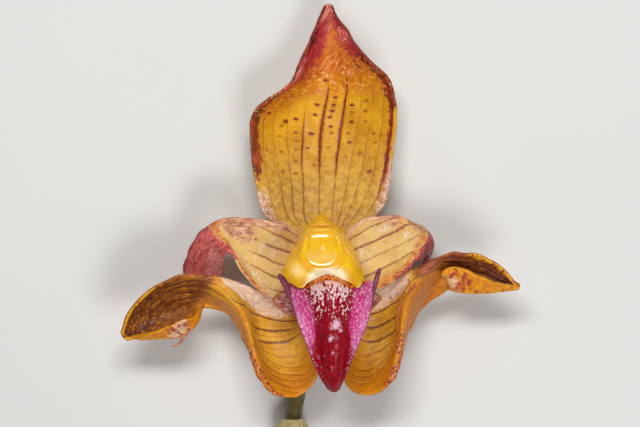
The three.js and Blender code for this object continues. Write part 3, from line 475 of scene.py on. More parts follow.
class Paint:
    """One material under construction: a Principled shader and the nodes that feed it."""

    def __init__(self, name, **constants):
        self.material = bpy.data.materials.new(name)
        self.material.use_nodes = True
        self.tree = self.material.node_tree
        self.tree.nodes.clear()
        self.shader = self.node("ShaderNodeBsdfPrincipled")
        out = self.node("ShaderNodeOutputMaterial")
        self.put(self.shader.outputs["BSDF"], out.inputs["Surface"])
        for label, value in constants.items():
            self.shader.inputs[label.replace("_", " ")].default_value = value
        scale = self.node("ShaderNodeVectorMath", operation="SCALE")
        self.put(self.node("ShaderNodeTexCoord").outputs["Object"], scale.inputs[0])
        scale.inputs["Scale"].default_value = 1 / MM
        self.place = scale.outputs[0]

    def node(self, kind, **settings):
        made = self.tree.nodes.new(kind)
        for label, value in settings.items():
            setattr(made, label, value)
        return made

    def put(self, value, socket):
        """Links a value or an output to a socket, or sets a constant on it."""
        if isinstance(value, Value):
            value = value.socket
        if hasattr(value, "is_output"):
            self.tree.links.new(value, socket)
        elif isinstance(value, tuple) and len(value) == 3 and socket.type == "RGBA":
            socket.default_value = (*value, 1)
        else:
            socket.default_value = value

    def math(self, operation, *values):
        made = self.node("ShaderNodeMath", operation=operation)
        for value, socket in zip(values, made.inputs):
            self.put(value, socket)
        return Value(self, made.outputs[0])

    def split(self, vector):
        made = self.node("ShaderNodeSeparateXYZ")
        self.put(vector, made.inputs[0])
        return [Value(self, socket) for socket in made.outputs]

    def attribute(self, label):
        return self.split(self.node("ShaderNodeAttribute", attribute_name=label).outputs["Vector"])

    def position(self):
        return self.split(self.place)

    def vector(self, *values):
        made = self.node("ShaderNodeCombineXYZ")
        for value, socket in zip(values, made.inputs):
            self.put(value, socket)
        return made.outputs[0]

    def texture(self, kind, size, where, **settings):
        made = self.node(kind, **settings)
        self.put(where or self.place, made.inputs["Vector"])
        made.inputs["Scale"].default_value = 1 / size
        return made

    def noise(self, size, detail=2.0, where=None, rough=0.55):
        """Soft noise between 0 and 1 whose features are about size millimetres."""
        made = self.texture("ShaderNodeTexNoise", size, where)
        made.inputs["Detail"].default_value = detail
        made.inputs["Roughness"].default_value = rough
        return Value(self, made.outputs[0])

    def cells(self, size, where=None, feature="F1"):
        """Distance from the middles, or from the walls, of cells of about size millimetres."""
        made = self.texture("ShaderNodeTexVoronoi", size, where, feature=feature)
        return Value(self, made.outputs["Distance"])

    def step(self, lo, hi, value):
        """0 at lo, 1 at hi, and smooth between them."""
        made = self.node("ShaderNodeMapRange", interpolation_type="SMOOTHSTEP")
        self.put(value, made.inputs["Value"])
        made.inputs["From Min"].default_value = lo
        made.inputs["From Max"].default_value = hi
        return Value(self, made.outputs["Result"])

    def mix(self, share, first, second, blend="MIX"):
        made = self.node("ShaderNodeMix", data_type="RGBA", blend_type=blend)
        for value, k in ((share, 0), (first, 6), (second, 7)):
            self.put(value, made.inputs[k])
        return Value(self, made.outputs[2])

    def tint(self, share, colour, by):
        """Multiplies a colour by another, as far as the share says."""
        return self.mix(share, colour, by, "MULTIPLY")

    def pick(self, lo, hi, value, first, second):
        """The first colour where the value is under lo and the second where it is over hi."""
        return self.mix(self.step(lo, hi, value), first, second)

    def ragged(self, mask, noise, amount, sharp=0.16):
        """A zone mask with an uneven border."""
        return self.step(0.5 - sharp, 0.5 + sharp, mask + (noise - 0.5) * amount)

    def finish(self, colour, roughness, height):
        """Connects colour, roughness and a height in millimetres."""
        self.put(colour, self.shader.inputs["Base Color"])
        self.put(roughness, self.shader.inputs["Roughness"])
        bump = self.node("ShaderNodeBump")
        bump.inputs["Distance"].default_value = MM
        bump.inputs["Strength"].default_value = 1.0
        self.put(height, bump.inputs["Height"])
        self.put(bump.outputs[0], self.shader.inputs["Normal"])
        return self.material


def tissue(name, coat=0.08):
    """A flower tissue with its veins and spots worked out. Returns the paint and its signals."""
    p = Paint(name, Subsurface_Weight=0.1, Subsurface_Scale=0.001, Subsurface_Radius=(1.0, 0.4, 0.15),
              Specular_IOR_Level=0.28, Coat_Weight=coat, Coat_Roughness=0.22)
    s = SimpleNamespace(cloth=lambda along, across: p.vector(s.along * along, s.across * across, s.side))
    s.along, s.across, s.edge = p.attribute("tissue")
    s.side, s.u, s.v = p.attribute("face")
    s.front = p.step(-0.4, 0.4, s.side)
    s.fine = p.noise(0.26, 2)
    s.mid = p.noise(1.2, 3)
    s.broad = p.noise(4.5, 2)
    s.streak = p.noise(0.45, 3, where=s.cloth(0.22, 1))
    s.fleck = p.noise(0.42, 2, where=s.cloth(1, 0.4))
    w, spacing, power = p.attribute("vein")
    line = w + (p.noise(2.4, 1) - 0.5) * 0.34 / spacing
    away = p.math("ABSOLUTE", line - p.math("ROUND", line)) * spacing
    between = p.math("ABSOLUTE", p.math("FRACT", line) - 0.5) * spacing
    bead = p.noise(0.55, 1)
    width = (power * power * 0.16 + power * 0.16 + 0.05) * (bead * 1.6 + s.streak * 0.5)
    broken = p.step(0.3, 0.56, p.noise(1.1, 2) + power * 0.22)
    s.away, s.power = away, power
    s.vein = p.step(1.7, 0.35, away / width) * p.math("MINIMUM", power * 1.15, 1.0) * broken
    s.between = p.step(0.2, 0.06, between) * p.step(0.4, 0.55, p.noise(1.3, 2))
    dx, dy, mark = p.attribute("spot")
    reach = p.math("SQRT", dx * dx * 0.55 + dy * dy * 1.3) + (s.fine - 0.5) * 1.5
    inside = p.step(1.36, 0.5, reach)
    s.spot = inside * p.math("MAXIMUM", mark, 0.0) * s.front
    s.blotch = inside * p.math("MAXIMUM", mark * -1.0, 0.0) * (1.0 - s.front)
    s.grain = p.step(0.44, 0.34, s.fine)
    return p, s


def skin_height(p, s, velvet=0.0):
    """Relief of a tissue's cells and blisters, in millimetres."""
    blister = p.cells(0.42, feature="SMOOTH_F1")
    grains = p.cells(0.15)
    base = s.fine * 0.035 + blister * -0.03 + grains * -0.012 + s.vein * -0.02
    return base + (s.streak * 0.09 + grains * -0.05) * velvet


def dorsal_material():
    p, s = tissue("dorsal_tissue")
    tip, shoulder, low = p.attribute("zone_a")
    dark, pale, ember = p.attribute("zone_b")
    pink, deep, gilt = p.attribute("zone_c")
    c = p.pick(0.3, 0.7, s.broad * 0.6 + s.mid * 0.4, (0.58, 0.24, 0.005), (0.84, 0.45, 0.014))
    c = p.mix(p.step(0.54, 0.68, s.mid) * 0.4, c, (0.46, 0.18, 0.02))
    c = p.mix(low * 0.85, c, p.pick(0.35, 0.65, s.mid, (0.54, 0.28, 0.03), (0.78, 0.48, 0.08)))
    stain = p.step(0.5, 0.7, p.noise(1.6, 2, where=s.cloth(1.3, 0.7)))
    c = p.mix(stain * low * 0.45, c, (0.46, 0.18, 0.09))
    # Pale specks on the lower part: painted glints
    c = p.mix(p.step(0.6, 0.7, s.fine) * low * 0.5, c, (0.95, 0.76, 0.42))
    warm = p.ragged(shoulder, s.mid, 1.2, 0.3)
    c = p.mix(warm * 0.8, c, p.pick(0.36, 0.64, s.mid, (0.56, 0.13, 0.008), (0.86, 0.38, 0.014)))
    c = p.mix(p.step(0.52, 0.6, s.mid * 0.5 + s.streak * 0.5) * warm * 0.6, c, (0.46, 0.06, 0.01))
    red = p.step(0.22, 0.78, tip + (s.mid - 0.5) * 2.2 + (s.streak - 0.5) * 2.2) * p.step(0.0, 0.12, tip)
    glow = p.step(0.3, 0.8, ember + (s.mid - 0.5) * 0.9)
    c = p.mix(glow * 0.8, c, p.pick(0.36, 0.64, s.streak, (0.5, 0.05, 0.012), (0.88, 0.3, 0.03)))
    c = p.mix(glow * p.step(0.54, 0.64, s.mid * 0.4 + s.streak * 0.6) * 0.6, c, (0.92, 0.5, 0.26))
    velvet = p.pick(0.38, 0.62, s.streak, (0.24, 0.004, 0.018), (0.58, 0.035, 0.055))
    velvet = p.mix(p.ragged(deep, s.mid, 1.2, 0.3) * 0.85, velvet, (0.1, 0.002, 0.006))
    rosy = p.pick(0.4, 0.6, s.streak, (0.5, 0.04, 0.05), (0.86, 0.3, 0.24))
    velvet = p.mix(p.ragged(pink, s.mid, 1.1, 0.3) * 0.9, velvet, rosy)
    velvet = p.mix(p.step(0.66, 0.74, s.fine) * 0.3, velvet, (0.8, 0.4, 0.36))
    c = p.mix(red, c, velvet)
    rim = p.ragged(pale, s.mid, 1.4, 0.3)
    frost = p.pick(0.42, 0.58, s.fine * 0.6 + s.mid * 0.4, (0.4, 0.13, 0.13), (0.86, 0.6, 0.5))
    c = p.mix(rim * 0.8, c, frost)
    maroon = (p.step(0.3, 0.6, dark + (s.mid - 0.5) * 1.5 + (s.streak - 0.5) * 0.9)
              * p.step(0.0, 0.12, dark))
    mottle = p.pick(0.44, 0.58, s.streak * 0.5 + s.fine * 0.5, (0.08, 0.004, 0.006), (0.42, 0.05, 0.014))
    fiery = p.pick(0.46, 0.6, s.streak * 0.6 + s.fine * 0.4, (0.13, 0.004, 0.007), (0.52, 0.055, 0.02))
    mottle = p.mix(p.step(0.38, 0.28, s.u) * p.step(0.5, 0.4, s.v), mottle, fiery)
    c = p.mix(p.step(1.3, 0.3, s.away) * s.power * 0.3, c, (0.6, 0.2, 0.008))
    c = p.mix(s.vein * 0.96, c, p.mix(s.power, (0.24, 0.05, 0.012), (0.19, 0.006, 0.004)))
    c = p.mix(s.spot, c, (0.21, 0.025, 0.008))
    c = p.tint(s.grain * 0.4 * (1.0 - low * 0.6), c, (0.78, 0.62, 0.5))
    # Fine pale specks all over: painted glints
    c = p.mix(p.step(0.66, 0.72, p.noise(0.2, 1)) * 0.3, c, (0.96, 0.66, 0.2))
    back = p.mix(s.mid, (0.55, 0.34, 0.06), (0.7, 0.5, 0.14))
    back = p.mix(p.step(0.55, 0.7, s.fleck) * 0.5, back, (0.55, 0.22, 0.1))
    back = p.mix(red * 0.8, back, (0.5, 0.09, 0.05))
    back = p.mix(p.step(0.5, 1.4, s.vein * 1.6) * 0.8, back, (0.3, 0.07, 0.04))
    c = p.mix(s.front, back, c)
    c = p.mix(maroon * 0.92, c, mottle)
    slant = s.along + s.across * 0.35
    stroke = p.step(0.58, 0.66, p.noise(0.42, 1.5, where=p.vector(slant, s.across * 0.22, s.side)))
    warmth = p.pick(0.4, 0.6, s.mid, (0.84, 0.24, 0.06), (0.96, 0.66, 0.24))
    c = p.mix(stroke * p.ragged(gilt, s.mid, 0.8, 0.3) * 0.8, c, warmth)
    return p.finish(c, s.fine * 0.25 + s.mid * 0.15 + 0.3, skin_height(p, s, red))


def petal_material(name, deep, bright):
    p, s = tissue(name, coat=0.05)
    red, orange, rim = p.attribute("zone_a")
    white, mottle, yellow = p.attribute("zone_b")
    glow, _, _ = p.attribute("zone_c")
    c = p.pick(0.3, 0.7, s.broad, (0.66, 0.4, 0.11), (0.79, 0.54, 0.17))
    c = p.mix(p.step(0.5, 0.75, s.mid) * 0.35, c, (0.76, 0.44, 0.24))
    c = p.mix(yellow * 0.8, c, (0.76, 0.34, 0.02))
    milky = p.pick(0.34, 0.7, s.fleck * 0.7 + s.mid * 0.3, (0.64, 0.36, 0.13), (0.98, 0.8, 0.6))
    c = p.mix(p.step(0.1, 0.95, white + (s.mid - 0.5) * 1.2) * 0.72, c, milky)
    # Fine pale flecks: painted glints
    c = p.mix(p.step(0.6, 0.68, s.fine) * (white * 0.3 + 0.4), c, (0.98, 0.84, 0.64))
    lilac = p.pick(0.42, 0.6, s.streak * 0.6 + s.fine * 0.4, (0.56, 0.24, 0.18), (0.9, 0.62, 0.46))
    c = p.mix(p.step(0.2, 0.9, rim + (s.mid - 0.5) * 1.2) * 0.7, c, lilac)
    patch = p.step(0.2, 0.7, mottle + (s.mid - 0.5) * 0.9)
    c = p.mix(patch * 0.55, c, (0.62, 0.28, 0.15))
    c = p.mix(patch * p.step(0.45, 0.66, s.streak) * 0.7, c, (0.9, 0.6, 0.46))
    bruise = p.noise(0.7, 4, rough=0.7, where=s.cloth(0.6, 0.9))
    c = p.mix(patch * p.step(0.42, 0.62, bruise) * 0.85, c,
              p.mix(s.streak, (0.24, 0.05, 0.04), (0.5, 0.14, 0.11)))
    c = p.mix(s.vein * 0.9, c, p.mix(s.streak, (0.2, 0.025, 0.03), (0.38, 0.07, 0.05)))
    fold = p.step(0.15, 0.85, orange + (s.mid - 0.5) * 1.2 + (s.streak - 0.5) * 0.8)
    c = p.mix(fold * 0.85, c, p.pick(0.4, 0.6, s.streak, (0.5, 0.08, 0.03), (0.82, 0.34, 0.08)))
    weave = p.noise(0.6, 4, rough=0.7, where=s.cloth(0.5, 1))
    velvet = p.pick(0.34, 0.64, weave, deep, bright)
    # Pale pink flecks in the velvet: painted highlights
    velvet = p.mix(p.step(0.54, 0.66, s.fine) * 0.5, velvet, p.mix(0.5, bright, (0.98, 0.6, 0.5)))
    # Painted light: a brighter pink on the lower flap, where the glow zone lies
    painted_light_pink = p.pick(0.36, 0.6, weave * 0.7 + s.fine * 0.3, (0.7, 0.11, 0.1), (1.0, 0.46, 0.4))
    velvet = p.mix(p.step(0.1, 1.0, glow + (s.mid - 0.5) * 1.2) * 0.85, velvet, painted_light_pink)
    velvet = p.mix(p.step(1.2, 0.3, s.edge) * p.step(0.5, 0.3, s.v) * 0.7, velvet,
                   p.mix(0.5, deep, (0.02, 0.0, 0.0)))
    tip = p.ragged(red, s.mid, 0.6)
    c = p.mix(tip, c, velvet)
    c = p.mix(s.spot, c, (0.5, 0.05, 0.06))
    c = p.tint(s.grain * 0.4, c, (0.84, 0.7, 0.6))
    back = p.mix(s.mid, (0.66, 0.42, 0.16), (0.82, 0.6, 0.3))
    back = p.mix(p.step(0.5, 0.66, s.fleck) * 0.5, back, (0.66, 0.3, 0.18))
    back = p.mix(s.vein * 0.6, back, (0.35, 0.12, 0.09))
    back = p.mix(tip * 0.9, back, velvet)
    c = p.mix(s.front, back, c)
    return p.finish(c, s.fine * 0.25 + s.mid * 0.15 + 0.38, skin_height(p, s, tip * 0.4))


def lateral_material():
    p, s = tissue("lateral_tissue", coat=0.1)
    white, golden, cave = p.attribute("zone_a")
    crest, flap, yellow = p.attribute("zone_b")
    amber, painted_cave_shade, lit = p.attribute("zone_c")
    c = p.pick(0.3, 0.7, s.broad * 0.5 + s.mid * 0.5, (0.64, 0.295, 0.02), (0.82, 0.45, 0.036))
    c = p.mix(golden, c, p.mix(s.mid, (0.66, 0.2, 0.003), (0.84, 0.34, 0.008)))
    c = p.mix(amber * 0.85, c, p.pick(0.35, 0.65, s.mid, (0.5, 0.13, 0.001), (0.6, 0.18, 0.002)))
    c = p.mix(p.ragged(lit, s.mid, 0.8, 0.3) * 0.8, c, (0.98, 0.56, 0.09))
    blush = p.ragged(white, s.mid, 0.7, 0.4)
    milky = p.pick(0.35, 0.65, s.streak, (0.78, 0.48, 0.32), (1.0, 0.84, 0.7))
    milky = p.mix(p.step(0.52, 0.62, s.streak) * p.step(0.6, 0.4, s.mid) * 0.7, milky, (0.46, 0.2, 0.2))
    milky = p.mix(p.step(0.64, 0.72, s.fine) * 0.5, milky, (0.6, 0.3, 0.28))
    c = p.mix(blush * 0.93, c, milky)
    ripples = s.between * (1.0 - blush) * 0.5
    c = p.mix(ripples, c, (0.42, 0.12, 0.03))
    brown = p.ragged(cave, s.mid, 0.4, 0.4)
    umber = p.pick(0.3, 0.7, s.mid, (0.26, 0.068, 0.005), (0.56, 0.2, 0.014))
    # Painted shade deeper in the hollow, towards its far end
    umber = p.tint(painted_cave_shade, umber, (0.66, 0.52, 0.8))
    ashen = p.pick(0.42, 0.56, s.streak * 0.75 + s.fine * 0.25, (0.15, 0.008, 0.012), (0.44, 0.11, 0.06))
    umber = p.mix(p.step(0.66, 0.56, s.u) * p.step(0.6, 0.3, s.v), umber, ashen)
    c = p.mix(brown, c, umber)
    band = p.step(0.62, 0.2, s.away) * p.math("MAXIMUM", s.power - 0.35, 0.0) * 1.6
    c = p.mix(p.math("MINIMUM", band, 1.0) * brown * 0.92, c,
              p.mix(s.streak, (0.03, 0.006, 0.006), (0.13, 0.03, 0.02)))
    c = p.mix(s.between * brown * 0.6, c, (0.12, 0.018, 0.01))
    # Dark lines along and between the veins, only where the painted cave shade lies
    ribbon = p.step(0.5, 0.16, s.away) + p.step(0.3, 0.08, s.between * -1.0 + 1.0)
    c = p.mix(p.math("MINIMUM", ribbon, 1.0) * painted_cave_shade * brown * 0.7, c, (0.07, 0.01, 0.014))
    net = p.step(0.16, 0.05, p.cells(1.1, where=s.cloth(0.8, 1.3), feature="DISTANCE_TO_EDGE"))
    c = p.mix(p.step(0.68, 0.82, s.u) * brown * net * 0.75, c, (0.08, 0.012, 0.01))
    margin = p.ragged(yellow, s.mid, 0.8, 0.24)
    gold = p.mix(s.mid, (0.7, 0.28, 0.006), (0.88, 0.48, 0.02))
    gold = p.mix(p.step(0.55, 0.62, p.noise(0.6, 2)) * 0.85, gold, (0.32, 0.025, 0.01))
    c = p.mix(margin, c, gold)
    veined = p.mix(blush, p.mix(golden, (0.15, 0.025, 0.02), (0.34, 0.09, 0.008)), (0.26, 0.08, 0.08))
    c = p.mix(p.step(1.1, 0.1, s.away / (s.power * 0.5 + 0.1)) * 0.3 * s.power * (1.0 - brown), c,
              (0.34, 0.1, 0.04))
    c = p.mix(s.vein * 0.85, c, veined)
    rim = p.step(0.3, 0.6, crest + (s.fine - 0.5) * 0.5)
    crust = p.pick(0.3, 0.6, s.fine, (0.46, 0.09, 0.012), (0.76, 0.24, 0.04))
    crust = p.mix(p.step(0.42, 0.24, p.cells(0.62)) * p.step(0.4, 0.6, s.mid) * 0.8, crust,
                  (0.9, 0.48, 0.26))
    ripe = p.step(0.62, 0.9, s.v)
    crust = p.mix((1.0 - ripe) * 0.75, crust,
                  p.pick(0.4, 0.6, s.fine, (0.64, 0.22, 0.02), (0.86, 0.42, 0.1)))
    crust = p.mix(p.step(0.6, 0.67, p.noise(0.45, 1) + ripe * 0.11) * 0.9, crust, (0.2, 0.012, 0.012))
    shadow = p.step(-0.1, -0.6, crest)
    c = p.mix(shadow * p.step(0.4, 0.54, s.mid * 0.5 + s.fine * 0.5) * 0.85, c, (0.24, 0.02, 0.012))
    c = p.mix(rim, c, crust)
    c = p.mix(s.spot, c, (0.3, 0.03, 0.02))
    c = p.tint(s.grain * 0.4, c, (0.84, 0.7, 0.6))
    # Fine pale specks outside the hollow: painted glints
    c = p.mix(p.step(0.66, 0.72, p.noise(0.2, 1)) * 0.25 * (1.0 - brown), c, (0.95, 0.66, 0.3))
    outer = p.pick(0.3, 0.7, s.mid, (0.32, 0.075, 0.002), (0.5, 0.155, 0.004))
    outer = p.mix(p.step(0.58, 0.72, s.fleck) * 0.5, outer, (0.36, 0.07, 0.012))
    outer = p.mix(p.step(0.5, 0.62, s.streak) * 0.4 * (1.0 - flap), outer, (0.72, 0.34, 0.03))
    outer = p.mix(s.vein * 0.5, outer, (0.3, 0.06, 0.02))
    bright = p.pick(0.3, 0.7, s.mid, (0.72, 0.21, 0.002), (0.88, 0.38, 0.006))
    bright = p.mix(p.step(0.6, 0.66, p.noise(0.8, 2)) * 0.85, bright, (0.36, 0.04, 0.012))
    outer = p.mix(flap, outer, bright)
    outer = p.mix(flap * p.ragged(white, s.mid, 1.4, 0.3) * 0.85, outer,
                  p.mix(s.fine, (0.76, 0.42, 0.2), (0.98, 0.8, 0.6)))
    blotch = p.pick(0.4, 0.6, s.fine, (0.3, 0.018, 0.018), (0.58, 0.09, 0.05))
    outer = p.mix(s.blotch * 0.9, outer, blotch)
    c = p.mix(s.front, outer, c)
    return p.finish(c, s.fine * 0.2 + s.mid * 0.16 + 0.26 + brown * 0.15, skin_height(p, s))


def lip_material():
    p = Paint("lip_tissue", Subsurface_Weight=0.06, Subsurface_Scale=0.0008,
              Subsurface_Radius=(1.0, 0.3, 0.4), Specular_IOR_Level=0.15,
              Coat_Weight=0.1, Coat_Roughness=0.12)
    along, across, edge = p.attribute("tissue")
    white, magenta, orange = p.attribute("zone_a")
    dusky, lobe, fringe = p.attribute("zone_b")
    pale_and_highlight, _, _ = p.attribute("zone_c")
    side, _, _ = p.attribute("face")
    x, y, _ = p.position()
    fine, mid = p.noise(0.3, 2), p.noise(0.9, 2)
    dash = p.noise(0.5, 1.5, where=p.vector(x, y * 0.5, 0.0))
    speck = p.noise(0.24, 2, where=p.vector(x, y * 0.6, 0.0))
    c = p.pick(0.35, 0.65, mid, (0.22, 0.001, 0.005), (0.33, 0.002, 0.012))
    c = p.mix(p.step(0.62, 0.7, speck) * 0.5 * p.step(-15.0, -11.0, y), c, (0.5, 0.03, 0.1))
    panel = p.pick(2.6, 0.3, edge, (0.58, 0.035, 0.2), (0.58, 0.12, 0.32))
    panel = p.mix(p.step(0.46, 0.36, p.noise(0.5, 3)) * 0.7, panel, (0.42, 0.02, 0.16))
    drop = p.cells(0.27, where=p.vector(x + y * 0.2, y * 0.6, 0.0))
    panel = p.mix(p.step(0.56, 0.2, drop + (0.5 - dash) * 0.8) * 0.66, panel, (0.84, 0.42, 0.58))
    c = p.mix(p.ragged(magenta, p.noise(0.6, 4), 1.3, 0.4), c, panel)
    fleck = p.cells(0.34, where=p.vector(x + (dash - 0.5) * 0.5, y * 0.5, 0.0))
    reach = white * 0.7 + (dash - 0.5) * 0.85 + (speck - 0.5) * 0.3
    pattern = p.step(-0.07, 0.09, reach - fleck) * p.step(0.05, 0.15, white)
    ground = p.pick(0.3, 0.65, fine, (0.74, 0.34, 0.4), (0.94, 0.72, 0.7))
    ground = p.mix(p.step(-5.2, -3.8, y) * 0.6, ground, (0.86, 0.46, 0.3))
    c = p.mix(pattern, c, ground)
    # Paler papillae, each with a painted highlight
    pale_and_highlight_share = p.step(0.3, 0.75, pale_and_highlight + (speck - 0.5) * 1.3 + (fine - 0.5) * 0.5)
    c = p.mix(pale_and_highlight_share * 0.85, c, p.mix(fine, (0.74, 0.3, 0.46), (0.93, 0.7, 0.8)))
    rim = p.pick(0.51, 0.57, p.noise(0.5, 1), (0.85, 0.26, 0.02), (0.4, 0.01, 0.015))
    c = p.mix(p.ragged(orange, mid, 0.3), c, rim)
    dots = p.step(0.36, 0.2, p.cells(0.42))
    c = p.mix(p.ragged(fringe, fine, 0.6) * dots, c, (0.92, 0.72, 0.8))
    c = p.mix(dusky, c, p.pick(0.3, 0.7, fine, (0.13, 0.025, 0.05), (0.32, 0.08, 0.13)))
    streak = p.noise(0.4, 3, where=p.vector(across, along * 0.3, side))
    brownish = p.pick(0.3, 0.65, mid, (0.3, 0.09, 0.06), (0.5, 0.22, 0.18))
    brownish = p.pick(0.54, 0.62, streak, brownish, (0.2, 0.02, 0.015))
    brownish = p.pick(0.7, 0.3, edge, brownish, (0.5, 0.15, 0.03))
    brownish = p.pick(0.24, 0.1, edge, brownish, (0.22, 0.03, 0.02))
    c = p.mix(lobe, c, brownish)
    height = fine * 0.03 + p.cells(0.34, feature="SMOOTH_F1") * -0.05 + p.cells(0.14) * -0.012
    return p.finish(c, fine * 0.2 + 0.2, height)


def column_material(name, coat):
    p = Paint(name, Subsurface_Weight=0.14, Subsurface_Scale=0.0012, Subsurface_Radius=(1.0, 0.55, 0.1),
              Specular_IOR_Level=0.4, Coat_Weight=coat, Coat_Roughness=0.06)
    cream_and_highlight, orange_and_shade, beak = p.attribute("zone_a")
    brown, foot, red = p.attribute("zone_b")
    painted_lobe_shade, _, _ = p.attribute("zone_c")
    mid, fine = p.noise(1.6, 2), p.noise(0.35, 2)
    c = p.pick(0.3, 0.7, mid, (0.86, 0.45, 0.003), (0.92, 0.54, 0.006))
    c = p.mix(beak * 0.9, c, p.pick(0.4, 0.6, p.noise(0.5, 3), (0.84, 0.34, 0.008), (0.95, 0.52, 0.02)))
    # Deeper orange, partly the column's own and partly painted shade in the creases and under the cap's
    # lower rim
    c = p.mix(p.math("MINIMUM", orange_and_shade, 1.0) * 0.75, c, (0.94, 0.4, 0.005))
    # Cream at the arch, partly a painted highlight, and a painted highlight on the left lobe
    c = p.mix(cream_and_highlight, c, p.pick(0.42, 0.6, fine, (0.97, 0.88, 0.5), (1.0, 0.97, 0.82)))
    c = p.mix(p.ragged(brown, fine, 0.6), c, (0.58, 0.13, 0.012))
    c = p.mix(p.ragged(red, fine, 0.4), c, (0.8, 0.12, 0.004))
    c = p.mix(foot * 0.8, c, (0.8, 0.5, 0.1))
    # Painted shade along the lower borders of the lobes
    c = p.tint(painted_lobe_shade * (1.0 - cream_and_highlight * 0.8), c, (0.72, 0.64, 0.3))
    c = p.mix(p.step(0.74, 0.8, p.noise(0.7, 0)) * 0.3, c, (0.8, 0.36, 0.008))
    return p.finish(c, fine * 0.12 + 0.16, p.noise(0.8, 1) * 0.03 + fine * 0.01)


def stem_material(name, first, second, speckle):
    p = Paint(name, Subsurface_Weight=0.08, Subsurface_Scale=0.001, Specular_IOR_Level=0.4,
              Coat_Weight=0.1, Coat_Roughness=0.3)
    t, _, _ = p.attribute("place")
    x, y, z = p.position()
    grain = p.noise(0.5, 3, where=p.vector(x, y * 0.15, z))
    mid, fine = p.noise(1.8, 3), p.noise(0.25, 2)
    c = p.pick(0.3, 0.7, grain * 0.6 + mid * 0.4, first, second)
    c = p.mix(p.step(0.3, 0.2, p.cells(0.9)) * 0.7, c, speckle)
    c = p.mix(p.step(0.25, 0.0, t) * 0.5, c, (0.62, 0.5, 0.16))
    cut = p.step(0.992, 0.998, t)
    c = p.mix(cut, c, p.pick(0.3, 0.5, p.cells(0.35), (0.5, 0.52, 0.26), (0.34, 0.34, 0.12)))
    return p.finish(c, fine * 0.2 + 0.32, grain * 0.08 + fine * 0.03 + p.cells(0.3) * -0.02)


# Pieces


def dress(piece, node, material):
    """Gives a piece its material, hangs it under the root body and hides the imported part of its node."""
    piece.data.materials.append(material)
    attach(piece, "root")
    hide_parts(node)


def rough_margin(sheet, amount, size, seed):
    """Waves the margins a little in and out and up and down."""
    wave = ripple(sheet.along, sheet.across * 0.3, size, seed)
    sheet.lift(amount * wave * np.exp(-sheet.side_edge / 1.6))
    small = ripple(sheet.along, sheet.across * 0.2, size * 0.35, seed + 1)
    inward = np.where(sheet.v < 0.5, 1.0, -1.0) * np.clip(small + 0.6, 0, 2) * 0.25 * amount
    sheet.points += sheet.t_across * (inward * np.exp(-sheet.side_edge / 0.5))[..., None]


def zone_fields(zones):
    return dict(zip(("zone_a", "zone_b", "zone_c"), zones))


def make_blade(name, node, net, size, thickness, veins, spots, zones, material, seed, crest=()):
    """One sepal or petal. The seed fixes its ripples, and a crest is a path of u and v."""
    sheet = Sheet(net, *size)
    rough_margin(sheet, MARGIN_WAVE, MARGIN_WAVE_LENGTH, seed)
    field = vein_field(sheet, veins)
    swell = 0.07 * ripple(sheet.along, sheet.across, 4.5, seed + 2)
    swell += 0.03 * ripple(sheet.along, sheet.across, 1.6, seed + 3)
    relief = vein_relief(field, VEIN_DEPTH, VEIN_WIDTH) + swell
    if len(crest):
        beads = 1 + 0.35 * ripple(sheet.along, sheet.across, 0.9, seed + 4)
        relief += CREST_HEIGHT * beads * bell(near_path(sheet, crest), 0, CREST_WIDTH)
    sheet.lift(relief * soft(0, 1.0, sheet.edge))
    sheet.measure()
    fields = {"vein": field, "spot": spot_field(sheet, spots), **zone_fields(zones(sheet))}
    dress(make_object(name, *blade_parts(sheet, thickness, fields)), node, material)


def near_line(points, line):
    """Distance from a broken line, in millimetres."""
    line = np.array(line, float)
    best = np.full(points.shape[:-1], FAR)
    for a, b in zip(line[:-1], line[1:]):
        t = np.clip(((points - a) @ (b - a)) / ((b - a) @ (b - a)), 0, 1)[..., None]
        best = np.minimum(best, np.linalg.norm(points - a - t * (b - a), axis=-1))
    return best


def near_path(sheet, path):
    """Distance in space from a path of (u, v) on the sheet, in millimetres."""
    return near_line(sheet.points, [sheet.points[sheet.at(u, v)] for u, v in path])


def blob(sheet, u, v, ru, rv):
    """A soft oval patch: 1 at u and v, and close to 0 from two of its half sizes on."""
    return np.exp(-(((sheet.u - u) / ru) ** 2) - ((sheet.v - v) / rv) ** 2)


